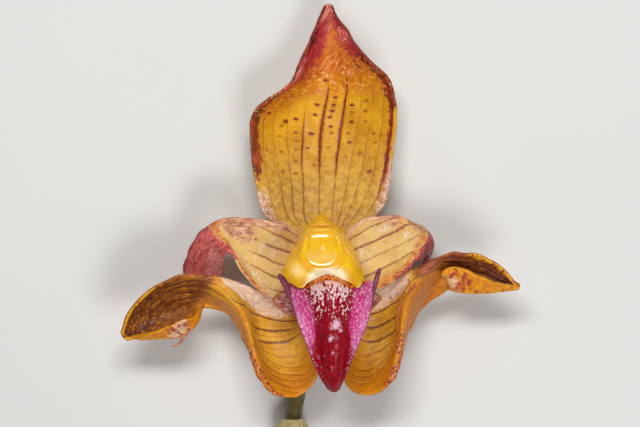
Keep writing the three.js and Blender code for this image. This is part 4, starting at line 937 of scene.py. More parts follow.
# A spot is u, v, radius and strength. A strength below 0 is on the outer face.
DORSAL_VEINS = read_veins("""
0.15 0.1, 0.3 0.088, 0.5 0.09 | 0.1 0.2, 0.3 0.35, 0.45 0.5, 0.52 0;
0.15 0.19, 0.28 0.18, 0.34 0.165, 0.5 0.163 | 0.1 0.5, 0.22 0.55, 0.3 0.3, 0.45 0.3, 0.52 0;
0.12 0.23, 0.21 0.265, 0.5 0.262 | 0.1 0.6, 0.25 0.45, 0.4 0.3, 0.5 0.3, 0.55 0;
0.15 0.325, 0.21 0.35, 0.32 0.356, 0.4 0.375, 0.5 0.38 | 0.1 0.6, 0.28 0.6, 0.34 0.85, 0.41 0.75,
  0.47 0.3, 0.55 0;
0.15 0.467, 0.31 0.481, 0.37 0.488, 0.45 0.506, 0.5 0.525, 0.57 0.538 | 0.1 0.5, 0.25 0.5, 0.32 1,
  0.42 1.2, 0.5 1.05, 0.56 0.7, 0.59 0;
0.15 0.585, 0.27 0.594, 0.38 0.619, 0.44 0.638, 0.51 0.656, 0.58 0.694, 0.64 0.719 | 0.1 0.5, 0.25 0.5,
  0.33 1.05, 0.4 1.15, 0.5 0.9, 0.6 0.75, 0.65 0;
0.15 0.655, 0.27 0.688, 0.38 0.725, 0.46 0.756, 0.54 0.775 | 0.1 0.55, 0.25 0.45, 0.4 0.3, 0.55 0.25,
  0.6 0;
0.15 0.72, 0.22 0.755, 0.28 0.781, 0.39 0.812, 0.55 0.856 | 0.1 0.55, 0.25 0.4, 0.4 0.3, 0.55 0.25,
  0.6 0;
0.15 0.8, 0.22 0.844, 0.27 0.875, 0.38 0.9, 0.52 0.919 | 0.1 0.5, 0.3 0.35, 0.5 0.35, 0.56 0;
0.15 0.89, 0.22 0.931, 0.32 0.956, 0.5 0.972, 0.55 0.968 | 0.1 0.3, 0.2 0.6, 0.3 0.8, 0.36 1, 0.54 1,
  0.6 0
""")
DORSAL_SPOTS = numbers("""
0.604 0.512 0.42 1, 0.512 0.588 0.42 0.95, 0.483 0.575 0.4 0.9, 0.488 0.456 0.4 0.9,
0.483 0.694 0.42 0.8, 0.458 0.569 0.46 0.95, 0.45 0.45 0.4 0.75, 0.438 0.55 0.4 0.95,
0.454 0.694 0.4 0.35, 0.421 0.7 0.42 0.9, 0.408 0.562 0.4 0.95, 0.388 0.569 0.36 0.5,
0.438 0.319 0.42 0.8, 0.392 0.319 0.42 0.45, 0.388 0.425 0.46 0.9, 0.388 0.675 0.34 0.5,
0.362 0.68 0.42 0.6, 0.342 0.406 0.36 0.55, 0.367 0.325 0.42 0.25, 0.338 0.319 0.42 0.25,
0.308 0.312 0.42 0.3, 0.296 0.444 0.42 0.35, 0.283 0.206 0.42 0.35, 0.275 0.3 0.4 0.35,
0.346 0.544 0.46 0.25, 0.329 0.762 0.5 0.25, 0.458 0.788 0.4 0.4, 0.425 0.794 0.4 0.35,
0.496 0.8 0.46 0.35, 0.388 0.856 0.4 0.35, 0.362 0.869 0.36 0.35, 0.379 0.906 0.36 0.3,
0.317 0.656 0.46 0.25, 0.479 0.112 0.42 0.8, 0.383 0.212 0.4 0.35, 0.333 0.212 0.42 0.35,
0.338 0.112 0.42 0.3, 0.417 0.219 0.42 0.3, 0.283 0.844 0.5 0.5, 0.435 0.25 0.5 0.7
""").reshape(-1, 4)


def dorsal_zones(b):
    u, v = b.u, b.v
    off = np.abs(v - 0.5)
    border = np.interp(v, (0, 0.1, 0.2, 0.3, 0.4, 0.47, 0.55, 0.64, 0.7, 0.78, 0.88, 0.94, 1),
                       (0.56, 0.6, 0.635, 0.68, 0.725, 0.77, 0.85, 0.85, 0.8, 0.735, 0.68, 0.63, 0.58))
    tip = soft(-0.1, 0.12, u - border)
    shoulder = soft(0.46, 0.6, u + 0.08 * soft(0.4, 0.0, v)) * soft(0.94, 0.88, u)
    low = soft(0.42, 0.2, u)
    left, right = v < 0.5, v > 0.5
    dark = 1.1 * bell(b.side_edge, 0, 2.2) * soft(0.42, 0.5, u) * soft(0.66, 0.58, u)
    dark = np.maximum(dark, left * 0.95 * bell(b.side_edge, 0.7, 1.5) * soft(0.22, 0.32, u)
                      * soft(0.55, 0.45, u))
    dark = np.maximum(dark * (1 - 0.9 * right * soft(0.5, 0.42, u)),
                      right * 0.75 * bell(b.side_edge, 1.2, 0.75) * soft(0.2, 0.3, u)
                      * soft(0.56, 0.5, u))
    dark = np.maximum(dark, 0.8 * bell(b.side_edge, 0, 0.35) * soft(0.6, 0.7, u))
    pale = 0.9 * bell(v, 0, 0.1) * soft(0.27, 0.2, u) * soft(0.06, 0.12, u)
    pale = pale + 0.75 * bell(v, 1, 0.07) * soft(0.4, 0.26, u)
    ember = soft(0.56, 0.68, u)
    pink = (soft(0.88, 0.93, u) + 0.8 * blob(b, 0.8, 0.86, 0.06, 0.14) + blob(b, 0.71, 0.0, 0.06, 0.12)
            + 0.6 * blob(b, 0.86, 0.5, 0.06, 0.2))
    deep = (blob(b, 0.83, 0.08, 0.07, 0.14) + blob(b, 0.64, 0.94, 0.06, 0.14)
            + 0.7 * blob(b, 0.6, 0.02, 0.04, 0.14))
    gilt = (soft(0.5, 0.58, u + 0.06 * soft(0.4, 0.0, v)) * soft(0.72, 0.64, u)
            + 0.7 * blob(b, 0.72, 0.74, 0.06, 0.12)
            + 0.6 * (off > 0.36) * soft(0.48, 0.54, u) * soft(0.66, 0.6, u))
    return stack(tip, shoulder, low), stack(dark, pale, ember), stack(pink, deep, gilt)


PETAL_LEFT_VEINS = read_veins("""
0.08 0.05, 0.13 0.038 | 0.06 0.5, 0.12 0.6, 0.15 0;
0.075 0.188, 0.117 0.162, 0.154 0.144, 0.196 0.125, 0.26 0.1 | 0.05 0.7, 0.12 0.8, 0.2 0.65, 0.26 0.5,
  0.29 0;
0.096 0.35, 0.138 0.325, 0.23 0.306 | 0.05 0.6, 0.1 0.8, 0.18 0.8, 0.21 0, 0.225 0.7, 0.24 0;
0.112 0.55, 0.162 0.494, 0.196 0.481, 0.23 0.5, 0.267 0.531 | 0.05 0.5, 0.12 0.7, 0.2 0.8, 0.26 0.4,
  0.29 0;
0.133 0.712, 0.183 0.669, 0.221 0.681, 0.254 0.725, 0.296 0.781 | 0.05 0.6, 0.14 0.85, 0.22 0.7,
  0.28 0.3, 0.31 0;
0.1 0.93, 0.146 0.912, 0.192 0.862, 0.25 0.88 | 0.05 0.5, 0.15 0.7, 0.2 0.4, 0.23 0
""")


def petal_left_zones(b):
    u, v = b.u, b.v
    past = u - np.interp(v, (0, 0.39, 0.64, 0.79, 1), (0.5, 0.47, 0.45, 0.41, 0.37))
    red = soft(-0.005, 0.035, past)
    orange = bell(past, -0.02, 0.045) + blob(b, 0.25, 1.0, 0.03, 0.06)
    orange = orange + 0.75 * bell(v, 1.0, 0.05) * soft(0.16, 0.28, u) * soft(0.5, 0.42, u)
    orange = orange + 0.4 * bell(v, 0.0, 0.12) * soft(0.12, 0.2, u) * soft(0.46, 0.4, u)
    rim = (bell(v, 0, 0.1) * soft(0.04, 0.1, u)
           + 0.7 * bell(v, 1, 0.08) * soft(0.05, 0.1, u) * soft(0.42, 0.34, u))
    white = (0.25 * soft(0.2, 0.08, u) + 0.8 * blob(b, 0.22, 0.85, 0.06, 0.1)
             + 0.6 * blob(b, 0.15, 0.22, 0.03, 0.06))
    white = white + 0.5 * blob(b, 0.2, 0.4, 0.07, 0.2) + 0.5 * blob(b, 0.3, 0.7, 0.05, 0.1)
    mottle = 1.2 * blob(b, 0.34, 0.12, 0.1, 0.2) + 0.8 * blob(b, 0.31, 0.36, 0.06, 0.14)
    mottle = mottle + 0.5 * blob(b, 0.15, 0.05, 0.05, 0.1)
    # glow: painted light on the lower part of the flap
    glow = soft(0.45, 0.8, v) * soft(0.5, 0.66, u)
    return stack(red, orange, rim), stack(white, mottle, 0.35 * soft(0.2, 0.1, u)), stack(glow, 0.0, 0.0)


PETAL_RIGHT_VEINS = read_veins("""
0.067 0, 0.15 0.03 | 0.05 0.3, 0.15 0.3, 0.2 0;
0.075 0.138, 0.117 0.162, 0.167 0.175, 0.25 0.138, 0.333 0.069, 0.392 0.03 | 0.05 0.7, 0.15 0.7, 0.3 0.8,
  0.36 1, 0.4 0.8, 0.43 0;
0.096 0.35, 0.15 0.375, 0.208 0.388, 0.258 0.375, 0.346 0.338, 0.383 0.294, 0.462 0.138 | 0.05 0.8,
  0.2 0.8, 0.34 0.9, 0.4 1.1, 0.45 1, 0.5 0;
0.138 0.612, 0.217 0.597, 0.308 0.594, 0.367 0.575, 0.442 0.519, 0.533 0.388, 0.617 0.169 | 0.05 0.55,
  0.2 0.55, 0.35 0.5, 0.5 0.6, 0.6 0.6, 0.65 0;
0.158 0.85, 0.196 0.8, 0.304 0.794, 0.346 0.8, 0.45 0.762 | 0.05 0.8, 0.16 0.8, 0.25 0.7, 0.4 0.7,
  0.47 0.6, 0.52 0
""")


def petal_right_zones(b):
    u, v = b.u, b.v
    past = u - np.interp(v, (0, 0.294, 0.612, 0.756, 0.88, 0.94, 1),
                         (0.62, 0.59, 0.53, 0.475, 0.49, 0.42, 0.3))
    red = soft(0.0, 0.05, past)
    orange = 0.8 * bell(past, -0.02, 0.06) * soft(0.1, 0.5, v)
    orange = orange + 0.8 * bell(v, 0.98, 0.09) * soft(0.14, 0.26, u) * soft(0.6, 0.5, u)
    rim = 0.8 * bell(v, 0, 0.08) * soft(0.02, 0.06, u) + 0.7 * bell(v, 1.02, 0.05) * soft(0.5, 0.38, u)
    rim = rim + 0.6 * blob(b, 0.5, 0.3, 0.06, 0.12)
    white = (soft(0.18, 0.07, u) * 0.3 + 0.9 * blob(b, 0.29, 0.23, 0.05, 0.08)
             + 0.7 * blob(b, 0.42, 0.42, 0.06, 0.1))
    white = white + 0.5 * blob(b, 0.16, 0.5, 0.06, 0.2)
    mottle = (0.9 * blob(b, 0.35, 0.17, 0.03, 0.05) + blob(b, 0.5, 0.05, 0.06, 0.12)
              + 0.8 * blob(b, 0.56, 0.2, 0.05, 0.15))
    mottle = mottle + 0.7 * bell(v, 0, 0.07) * soft(0.2, 0.34, u) + 0.5 * blob(b, 0.36, 0.16, 0.06, 0.08)
    yellow = blob(b, 0.39, 0.16, 0.05, 0.09) + 0.5 * blob(b, 0.3, 0.9, 0.14, 0.07)
    return stack(red, orange, rim), stack(white, mottle, yellow)


LATERAL_LEFT_VEINS = read_veins("""
0.5 0.04, 0.725 0.075, 0.76 0.044, 0.8 0.05, 0.825 0.07, 0.858 0.131, 0.896 0.2, 0.929 0.275,
  0.971 0.475 | 0.66 0, 0.72 0.6, 0.8 0.9, 0.96 1, 1 0.5;
0.096 0.456, 0.12 0.425, 0.18 0.394, 0.23 0.394, 0.28 0.425, 0.36 0.5, 0.44 0.562, 0.48 0.531, 0.5 0.45,
  0.55 0.269, 0.6 0.175, 0.65 0.131, 0.7 0.115, 0.75 0.119, 0.79 0.169, 0.825 0.194, 0.854 0.244,
  0.888 0.319, 0.917 0.431, 0.94 0.7 | 0.06 0.3, 0.11 0.9, 0.3 1, 0.45 0.9, 0.7 0.9, 0.95 1;
0.1 0.51, 0.146 0.494, 0.21 0.506, 0.254 0.531, 0.333 0.638, 0.45 0.66, 0.533 0.506, 0.56 0.438,
  0.6 0.338, 0.646 0.256, 0.7 0.209, 0.742 0.206, 0.77 0.306, 0.808 0.362, 0.846 0.406, 0.867 0.488,
  0.88 0.638 | 0.08 0.2, 0.13 0.9, 0.26 0.95, 0.33 0.6, 0.4 0.2, 0.52 0.5, 0.6 0.8, 0.85 0.9, 0.9 0.7;
0.108 0.588, 0.17 0.6, 0.204 0.612, 0.246 0.638, 0.333 0.762, 0.45 0.75, 0.546 0.606, 0.575 0.55,
  0.612 0.444, 0.65 0.369, 0.692 0.331, 0.729 0.344, 0.77 0.406, 0.796 0.488, 0.808 0.575,
  0.833 0.662 | 0.08 0.2, 0.12 0.8, 0.24 0.85, 0.3 0.4, 0.4 0.1, 0.54 0.5, 0.65 0.8, 0.84 0.8, 0.88 0.4;
0.104 0.769, 0.133 0.744, 0.18 0.712, 0.212 0.694, 0.254 0.706, 0.308 0.762, 0.4 0.84, 0.5 0.82,
  0.583 0.712, 0.604 0.606, 0.638 0.494, 0.675 0.438, 0.712 0.444, 0.742 0.481, 0.762 0.556,
  0.783 0.644 | 0.1 0.2, 0.15 0.4, 0.25 0.45, 0.32 0.2, 0.5 0.3, 0.6 0.6, 0.7 0.7, 0.8 0.6, 0.84 0;
0.112 0.87, 0.158 0.82, 0.188 0.79, 0.212 0.77, 0.25 0.765, 0.33 0.82, 0.5 0.86, 0.596 0.731, 0.625 0.6,
  0.662 0.538, 0.7 0.54, 0.742 0.638 | 0.1 0.2, 0.16 0.4, 0.25 0.45, 0.3 0.3, 0.5 0.2, 0.62 0.55,
  0.72 0.5, 0.77 0;
0.112 0.93, 0.142 0.9, 0.188 0.856, 0.22 0.838, 0.29 0.825, 0.4 0.87, 0.65 0.65, 0.7 0.66,
  0.75 0.75 | 0.1 0.2, 0.16 0.5, 0.28 0.55, 0.32 0.2, 0.5 0.1, 0.64 0.4, 0.7 0.4, 0.74 0;
0.12 0.965, 0.171 0.919, 0.2 0.894, 0.25 0.872, 0.4 0.9 | 0.1 0.2, 0.16 0.5, 0.26 0.55, 0.32 0;
0.162 0.969, 0.208 0.938, 0.27 0.912, 0.4 0.93 | 0.14 0.2, 0.2 0.6, 0.27 0.6, 0.33 0;
0.188 0.985, 0.24 0.955, 0.4 0.96 | 0.17 0.2, 0.21 0.4, 0.27 0.3, 0.3 0
""")
LATERAL_LEFT_SPOTS = numbers("""
0.767 0.938 0.7 -0.8, 0.75 0.9 0.45 -1, 0.729 0.95 0.65 -0.9, 0.708 0.881 0.36 -0.9, 0.7 0.825 0.3 -1,
0.738 0.869 0.34 -0.8, 0.782 0.912 0.36 -0.6, 0.8 0.88 0.24 -0.5, 0.716 0.925 0.3 -0.8,
0.752 0.965 0.4 -0.9, 0.722 0.845 0.24 -0.7, 0.79 0.955 0.4 -0.7
""").reshape(-1, 4)
LEFT_CREST = numbers("""
0.475 0.96, 0.458 0.944, 0.421 0.912, 0.383 0.9, 0.362 0.93, 0.342 0.956, 0.312 0.97, 0.283 0.994,
0.25 0.998
""").reshape(-1, 2)


def crest_signal(sheet, path, outside, half):
    """1 on a beaded crest along the path, below 0 in the dark line outside it, and 0 elsewhere."""
    away = near_path(sheet, path)
    return soft(half + 0.12, half - 0.1, away) - 0.9 * bell(away, half + 0.22, 0.18) * outside


def lateral_left_zones(b):
    u, v = b.u, b.v
    white = soft(0.44, 0.26, v) * soft(0.02, 0.08, u) * soft(0.6, 0.48, u + 0.2 * v)
    white = white + 0.9 * blob(b, 0.745, 0.93, 0.035, 0.12)
    golden = (soft(0.7, 1.0, v) * soft(0.44, 0.36, u)
              + soft(0.34, 0.44, u) * soft(0.5, 0.66, v) * soft(0.7, 0.6, u))
    golden = np.maximum(golden, 0.6 * soft(0.42, 0.56, u) * soft(0.66, 0.58, u))
    cave = soft(0.52, 0.66, u + 0.06 * (0.5 - v)) * (1 - 0.9 * soft(0.68, 0.62, u) * soft(0.8, 0.96, v))
    flap = soft(0.6, 0.66, u) * soft(0.6, 0.75, v)
    yellow = bell(b.side_edge, 0, 0.6) * soft(0.74, 0.86, u) + soft(0.965, 0.99, u)
    path = LEFT_CREST[::-1]
    crest = crest_signal(b, LEFT_CREST, soft(0, 0.01, v - np.interp(u, path[:, 0], path[:, 1])), 0.32)
    lit = 0.6 * blob(b, 0.3, 0.7, 0.05, 0.1)
    return stack(white, np.clip(golden, 0, 1), cave), stack(crest, flap, yellow), stack(0.0, 0.0, lit)


LATERAL_RIGHT_VEINS = read_veins("""
0.4 0.05, 0.54 0.06, 0.66 0.08, 0.746 0.15, 0.825 0.2, 0.98 0.25 | 0.36 0.4, 0.5 0.6, 0.62 0.8, 0.7 1.1,
  0.97 1.1, 1 0.4;
0.146 0.394, 0.2 0.386, 0.242 0.381, 0.288 0.4, 0.333 0.431, 0.42 0.3, 0.52 0.2, 0.62 0.2, 0.7 0.26,
  0.83 0.33, 0.98 0.36 | 0.1 0.4, 0.15 1, 0.3 0.95, 0.36 0.6, 0.5 0.5, 0.62 0.8, 0.7 1.1, 0.97 1.1,
  1 0.4;
0.133 0.519, 0.225 0.506, 0.267 0.531, 0.35 0.58, 0.45 0.42, 0.55 0.38, 0.65 0.38, 0.74 0.42, 0.83 0.48,
  0.98 0.5 | 0.1 0.3, 0.14 0.9, 0.28 0.9, 0.34 0.4, 0.5 0.4, 0.64 0.7, 0.74 1, 0.97 1, 1 0.4;
0.125 0.644, 0.188 0.625, 0.221 0.625, 0.279 0.656, 0.36 0.7, 0.454 0.52, 0.517 0.5, 0.583 0.594,
  0.7 0.62, 0.9 0.65 | 0.1 0.3, 0.14 0.8, 0.28 0.75, 0.34 0.3, 0.45 0.3, 0.55 0.4, 0.7 0.5, 0.9 0.6,
  0.95 0.2;
0.133 0.769, 0.175 0.706, 0.238 0.694, 0.32 0.76, 0.45 0.62, 0.6 0.7, 0.8 0.75 | 0.1 0.2, 0.15 0.55,
  0.23 0.5, 0.28 0.2, 0.45 0.2, 0.6 0.3, 0.75 0;
0.138 0.88, 0.171 0.85, 0.2 0.82, 0.229 0.79, 0.267 0.76, 0.33 0.82 | 0.1 0.2, 0.16 0.5, 0.26 0.5,
  0.31 0;
0.133 0.935, 0.167 0.906, 0.204 0.875, 0.238 0.85, 0.29 0.82, 0.35 0.86 | 0.1 0.2, 0.16 0.55, 0.28 0.5,
  0.33 0;
0.158 0.955, 0.2 0.93, 0.246 0.912, 0.288 0.894, 0.35 0.9 | 0.12 0.2, 0.18 0.5, 0.29 0.4, 0.34 0
""")
LATERAL_RIGHT_SPOTS = numbers("""
0.762 0.95 0.5 -1, 0.783 0.97 0.5 -0.6, 0.808 0.945 0.65 -0.8, 0.818 0.91 0.6 -0.8, 0.767 0.894 0.6 -1,
0.79 0.9 0.5 -0.9, 0.75 0.87 0.4 -0.9, 0.779 0.85 0.5 -0.9, 0.833 0.84 0.4 -0.9, 0.946 0.825 0.4 -0.5,
0.867 0.12 0.34 0.8, 0.9 0.08 0.34 0.8, 0.88 0.05 0.3 0.7, 0.93 0.06 0.34 0.9, 0.78 0.05 0.34 0.8,
0.74 0.04 0.34 0.8, 0.7 0.05 0.3 0.7, 0.421 0.231 0.4 0.4, 0.26 0.28 0.4 0.4, 0.835 0.075 0.3 0.8,
0.76 0.09 0.28 0.7, 0.72 0.1 0.26 0.7, 0.68 0.03 0.3 0.8, 0.64 0.06 0.3 0.7
""").reshape(-1, 4)
RIGHT_CREST = numbers("""
0.43 0.4, 0.4 0.45, 0.362 0.485, 0.33 0.53, 0.318 0.6, 0.32 0.7, 0.338 0.8, 0.366 0.885, 0.374 0.93,
0.365 0.965, 0.342 0.98, 0.31 0.985
""").reshape(-1, 2)


def lateral_right_zones(b):
    u, v = b.u, b.v
    white = soft(0.42, 0.26, v) * soft(0.02, 0.06, u) * soft(0.5, 0.36, u)
    white = white + 0.75 * blob(b, 0.75, 0.91, 0.03, 0.07)
    golden = (soft(0.6, 0.95, v) * soft(0.44, 0.36, u)
              + soft(0.26, 0.36, u) * soft(0.3, 0.46, v) * soft(0.7, 0.6, u))
    top_edge = np.interp(u, (0.6, 0.658, 0.746, 0.825, 0.908, 0.983),
                         (0.04, 0.04, 0.08, 0.14, 0.13, 0.219))
    low_edge = np.interp(u, (0.6, 0.625, 0.742, 0.829, 0.917, 1),
                         (0.3, 0.312, 0.394, 0.488, 0.494, 0.612))
    inside = soft(-0.03, 0.02, v - top_edge) * soft(0.56, 0.68, u)
    cave = inside * (1 - 0.45 * soft(-0.04, 0.06, v - low_edge)) * soft(0.72, 0.58, v)
    cave = np.maximum(cave, 0.9 * soft(0.4, 0.56, u) * soft(0.8, 0.74, u) * soft(0.34, 0.1, v))
    cave = np.maximum(cave, 0.7 * soft(0.4, 0.5, u) * soft(0.7, 0.62, u) * soft(0.56, 0.3, v))
    flap = soft(0.64, 0.7, u) * soft(0.55, 0.7, v)
    yellow = soft(0.02, -0.03, v - top_edge) * soft(0.74, 0.82, u) + soft(0.975, 0.99, u)
    crest = crest_signal(b, RIGHT_CREST,
                         soft(0, 0.01, u - np.interp(v, RIGHT_CREST[:, 1], RIGHT_CREST[:, 0])), 0.62)
    crest = crest * soft(0.4, 0.48, v)
    amber = soft(0.38, 0.46, u) * soft(0.36, 0.5, v) * soft(0.7, 0.6, u)
    lit = blob(b, 0.22, 0.72, 0.05, 0.14)
    # The second colour zone is painted shade towards the far end of the hollow
    return (stack(white, np.clip(golden, 0, 1), cave), stack(crest, flap, yellow),
            stack(amber, 0.8 * soft(0.64, 0.74, u), lit))


lateral_paint = lateral_material()
make_blade("dorsal_sepal_tissue", "dorsal_sepal", DORSAL_SEPAL, (190, 130), SEPAL_THICKNESS,
           DORSAL_VEINS, DORSAL_SPOTS, dorsal_zones, dorsal_material(), 11)
make_blade("petal_left_tissue", "petal_left", PETAL_LEFT, (170, 100), PETAL_THICKNESS,
           PETAL_LEFT_VEINS, [(0.229, 0.306, 0.3, 0.9)], petal_left_zones,
           petal_material("petal_left_skin", (0.4, 0.026, 0.032), (0.84, 0.17, 0.15)), 21)
make_blade("petal_right_tissue", "petal_right", PETAL_RIGHT, (160, 100), PETAL_THICKNESS,
           PETAL_RIGHT_VEINS, [(0.28, 0.45, 0.2, 0.3)], petal_right_zones,
           petal_material("petal_right_skin", (0.22, 0.014, 0.016), (0.58, 0.1, 0.09)), 31)
make_blade("lateral_sepal_left_tissue", "lateral_sepal_left", LATERAL_SEPAL_LEFT,
           (230, 130), SEPAL_THICKNESS, LATERAL_LEFT_VEINS, LATERAL_LEFT_SPOTS, lateral_left_zones,
           lateral_paint, 41, LEFT_CREST)
make_blade("lateral_sepal_right_tissue", "lateral_sepal_right", LATERAL_SEPAL_RIGHT,
           (230, 130), SEPAL_THICKNESS, LATERAL_RIGHT_VEINS, LATERAL_RIGHT_SPOTS, lateral_right_zones,
           lateral_paint, 51, RIGHT_CREST)


# A thin dry tail under the flap of the left lateral sepal
TAIL = [(-24.9, -12.2, 13.6), (-25.6, -13.4, 13.0), (-26.4, -14.8, 12.5), (-27.2, -15.7, 12.3),
        (-28.5, -16.25, 12.4)]


def tail_radius(t, angle):
    taper = 0.62 - 0.4 * soft(0, 0.9, t) - 0.12 * soft(0.9, 1, t)
    return taper * (1 + 0.1 * np.sin(17 * t + 3 * angle))


tail = tube_parts(spline(TAIL, np.linspace(0, 1, 60)), 20, tail_radius)
dress(make_object("lateral_sepal_left_tail", *tail), "lateral_sepal_left",
      stem_material("tail_skin", (0.42, 0.14, 0.08), (0.62, 0.3, 0.2), (0.24, 0.05, 0.04)))


# The lip: tongue, two side lobes and two horns


# Where the crimson middle of the tongue meets its magenta sides, by y
PANEL_LEFT = [(-19.5, -0.9), (-17.6, -1.45), (-15.5, -1.7), (-14.3, -1.2), (-11.7, -0.5), (-8.3, -1.1),
              (-5.0, -3.2), (-3.4, -3.9)]
PANEL_RIGHT = [(-19.5, 5.1), (-17.6, 5.6), (-15.7, 5.8), (-13.4, 5.3), (-11.1, 4.8), (-8.3, 5.4),
               (-5.2, 5.9), (-3.4, 6.4)]
# Raised papillae on the tongue, paler and each with a painted highlight: x, y, radius and height
PAPILLAE = [(2.65, -11.3, 0.85, 0.26), (2.2, -12.0, 0.5, 0.2), (2.1, -13.8, 0.6, 0.2),
            (2.35, -16.4, 0.42, 0.2), (1.05, -17.2, 0.26, 0.16), (3.3, -12.5, 0.35, 0.14)]


def lip_zones(b):
    u = b.u
    x, y = b.points[..., 0], b.points[..., 1]
    inner = soft(0.375, 0.4, u)
    white = (0.92 - 0.34 * soft(-5.2, -7.4, y) - 0.3 * soft(-7.6, -11.5, y)
             - 0.5 * soft(2.2, 4.6, np.abs(x - 1.9)))
    white += (0.24 * bell(x, 0.56, 0.36) * bell(y, -6.8, 1.5)
              + 0.3 * bell(x, 2.2, 0.26) * soft(-11.4, -9.8, y))
    white += 0.2 * bell(x, 3.6, 0.42) * bell(y, -6.2, 1.5)
    white -= (0.3 * bell(x, 1.35, 0.3) * soft(-5.0, -6.0, y)
              + 0.24 * bell(x, 2.9, 0.24) * soft(-5.5, -6.5, y))
    white = np.clip(white * inner * soft(-13, -9.5, y), 0, 1)
    # Pale papillae, each with a painted highlight, and painted highlight dashes down the middle
    pale_and_highlight = 0.0 * x
    for px, py, radius, _ in PAPILLAE:
        pale_and_highlight = np.maximum(pale_and_highlight, 1.05 * bell(x, px, radius) * bell(y, py, radius * 1.3))
    pale_and_highlight = np.maximum(pale_and_highlight, 0.75 * bell(x, 2.25, 0.1) * soft(-20.3, -19.4, y) * soft(-16.5, -17.5, y))
    left = soft(-0.9, 1.0, np.interp(y, *zip(*PANEL_LEFT)) - x)
    right = soft(-0.9, 1.0, x - np.interp(y, *zip(*PANEL_RIGHT)))
    magenta = (left + right) * soft(0.36, 0.4, u) * soft(-20.5, -14.0, y)
    orange = soft(0.4, 0.375, u) * soft(0.2, 0.26, u)
    fringe = bell(b.side_edge, 0.3, 0.28) * soft(0.52, 0.6, u) * soft(0.93, 0.86, u)
    fringe *= 0.75 + 0.5 * (x > 2.3) * bell(u, 0.72, 0.08)
    dusky = soft(0.16, 0.05, b.side_edge) * soft(0.42, 0.5, u) * 0.7
    return stack(white, magenta, orange), stack(dusky, 0.0, fringe), stack(pale_and_highlight, 0.0, 0.0)


# The lip's horns run on as a ridge down each margin of the tongue
HORN_RIDGES = [
    [(-4.75, -9.6, 22.45), (-5.35, -7.6, 21.1), (-5.9, -5.9, 19.9), (-6.55, -4.4, 19.0),
     (-7.3, -3.1, 18.9), (-8.0, -2.25, 19.4)],
    [(9.15, -9.0, 22.2), (9.6, -7.0, 20.9), (10.0, -5.2, 19.6), (10.4, -3.6, 18.9), (10.75, -2.3, 18.9),
     (11.15, -1.15, 19.6)],
]


def lip_parts():
    tongue = Sheet(LIP, 190, 110)
    x, y = tongue.points[..., 0], tongue.points[..., 1]
    ridge = 0.14 * bell(x, 2.2, 0.3) * soft(-4, -6, y) * soft(-20.5, -18.5, y)
    ridge -= 0.08 * (bell(x, 1.2, 0.45) + bell(x, 3.2, 0.45)) * soft(-6, -8, y)
    tongue.points[..., 1] += 0.75 * blob(tongue, 0.335, 0.5, 0.05, 0.36)
    for px, py, radius, height in PAPILLAE:
        ridge += height * bell(np.hypot(x - px, y - py), 0, radius)
    lump = (0.025 * ripple(tongue.along, tongue.across, 1.4, 61)
            + 0.05 * ripple(tongue.along, tongue.across, 2.6, 62))
    tongue.lift((ridge + lump) * soft(0, 0.8, tongue.edge))
    tongue.measure()
    thick = 0.7 + 1.0 * np.sin(np.pi * tongue.v) ** 2
    parts = [blade_parts(tongue, thick, zone_fields(lip_zones(tongue)), 0.4)]
    for seed, net in ((71, LIP_LOBE_LEFT), (72, LIP_LOBE_RIGHT)):
        lobe = Sheet(net, 46, 46)
        lobe.lift(0.08 * ripple(lobe.along, lobe.across, 2.0, seed))
        lobe.measure()
        parts.append(blade_parts(lobe, LOBE_THICKNESS, {"zone_b": stack(0.0, np.ones_like(lobe.u), 0.0)}))
    for line, stout in zip(HORN_RIDGES, (1.0, 0.78)):
        path = spline(line, np.linspace(0, 1, 90))

        def radius(t, a):
            swell = 0.12 + 0.48 * soft(0.0, 0.5, t) - 0.08 * soft(0.6, 1, t)
            blunt = np.sqrt(1 - np.clip((t - 0.92) / 0.08, 0, 1) ** 2 * 0.96)
            return stout * swell * blunt * (1 + 0.05 * np.sin(11 * t + 2 * a))

        horn = tube_parts(path, 28, radius)
        horn[2]["zone_b"] = stack(np.ones(len(horn[0])), 0.0, 0.0)
        parts.append(horn)
    return join(parts)


dress(make_object("lip_tissue", *lip_parts()), "lip", lip_material())


# The column


# Creases beside the cap, seen from in front
CREASE_LEFT = [(-3.3, 5.9), (-3.75, 3.4), (-4.6, 1.4)]
CREASE_RIGHT = [(3.6, 5.9), (4.05, 3.8), (4.5, 2.4), (5.4, 1.1)]
RIDGE_RIGHT = [(4.0, 5.7), (4.5, 3.9), (4.95, 2.4), (5.8, 1.0)]
RIDGE_LEFT = [(-3.75, 5.6), (-4.2, 3.4), (-5.0, 1.5)]
# The pale arch between the lobes, whose cream is partly a painted highlight
ARCH = [(-3.4, -4.6), (-1.9, -3.5), (-0.4, -2.7), (1.2, -2.4), (3.2, -2.7), (5.2, -3.6), (6.4, -4.4)]
# The lower borders of the two lobes, darkened with painted shade
LOBE_EDGES = [[(-7.1, -1.9), (-6.1, -3.2), (-4.2, -4.6), (-2.7, -4.1)],
              [(4.9, -3.6), (6.9, -4.9), (8.0, -3.4), (8.1, -1.5)]]


def outside_cap(flat):
    """Distance from the outline of the cap, seen from in front."""
    return near_line(flat, cap_ring(np.linspace(0, 2 * np.pi, 97), 1.0)[:, :2])


def cap_ring(angle, share):
    """The outline of the cap, or of a smaller ring within it."""
    x, y = (np.sign(value) * np.abs(value) ** 0.72 for value in (np.cos(angle), np.sin(angle)))
    reach = CAP["width"] * (1 - 0.03 * soft(0.2, -1, y)) / 2
    at = CAP["at"]
    return stack(at[0] + share * reach * x, at[1] + share * CAP["height"] * (y - 0.03) / 2, CAP_SEAT)


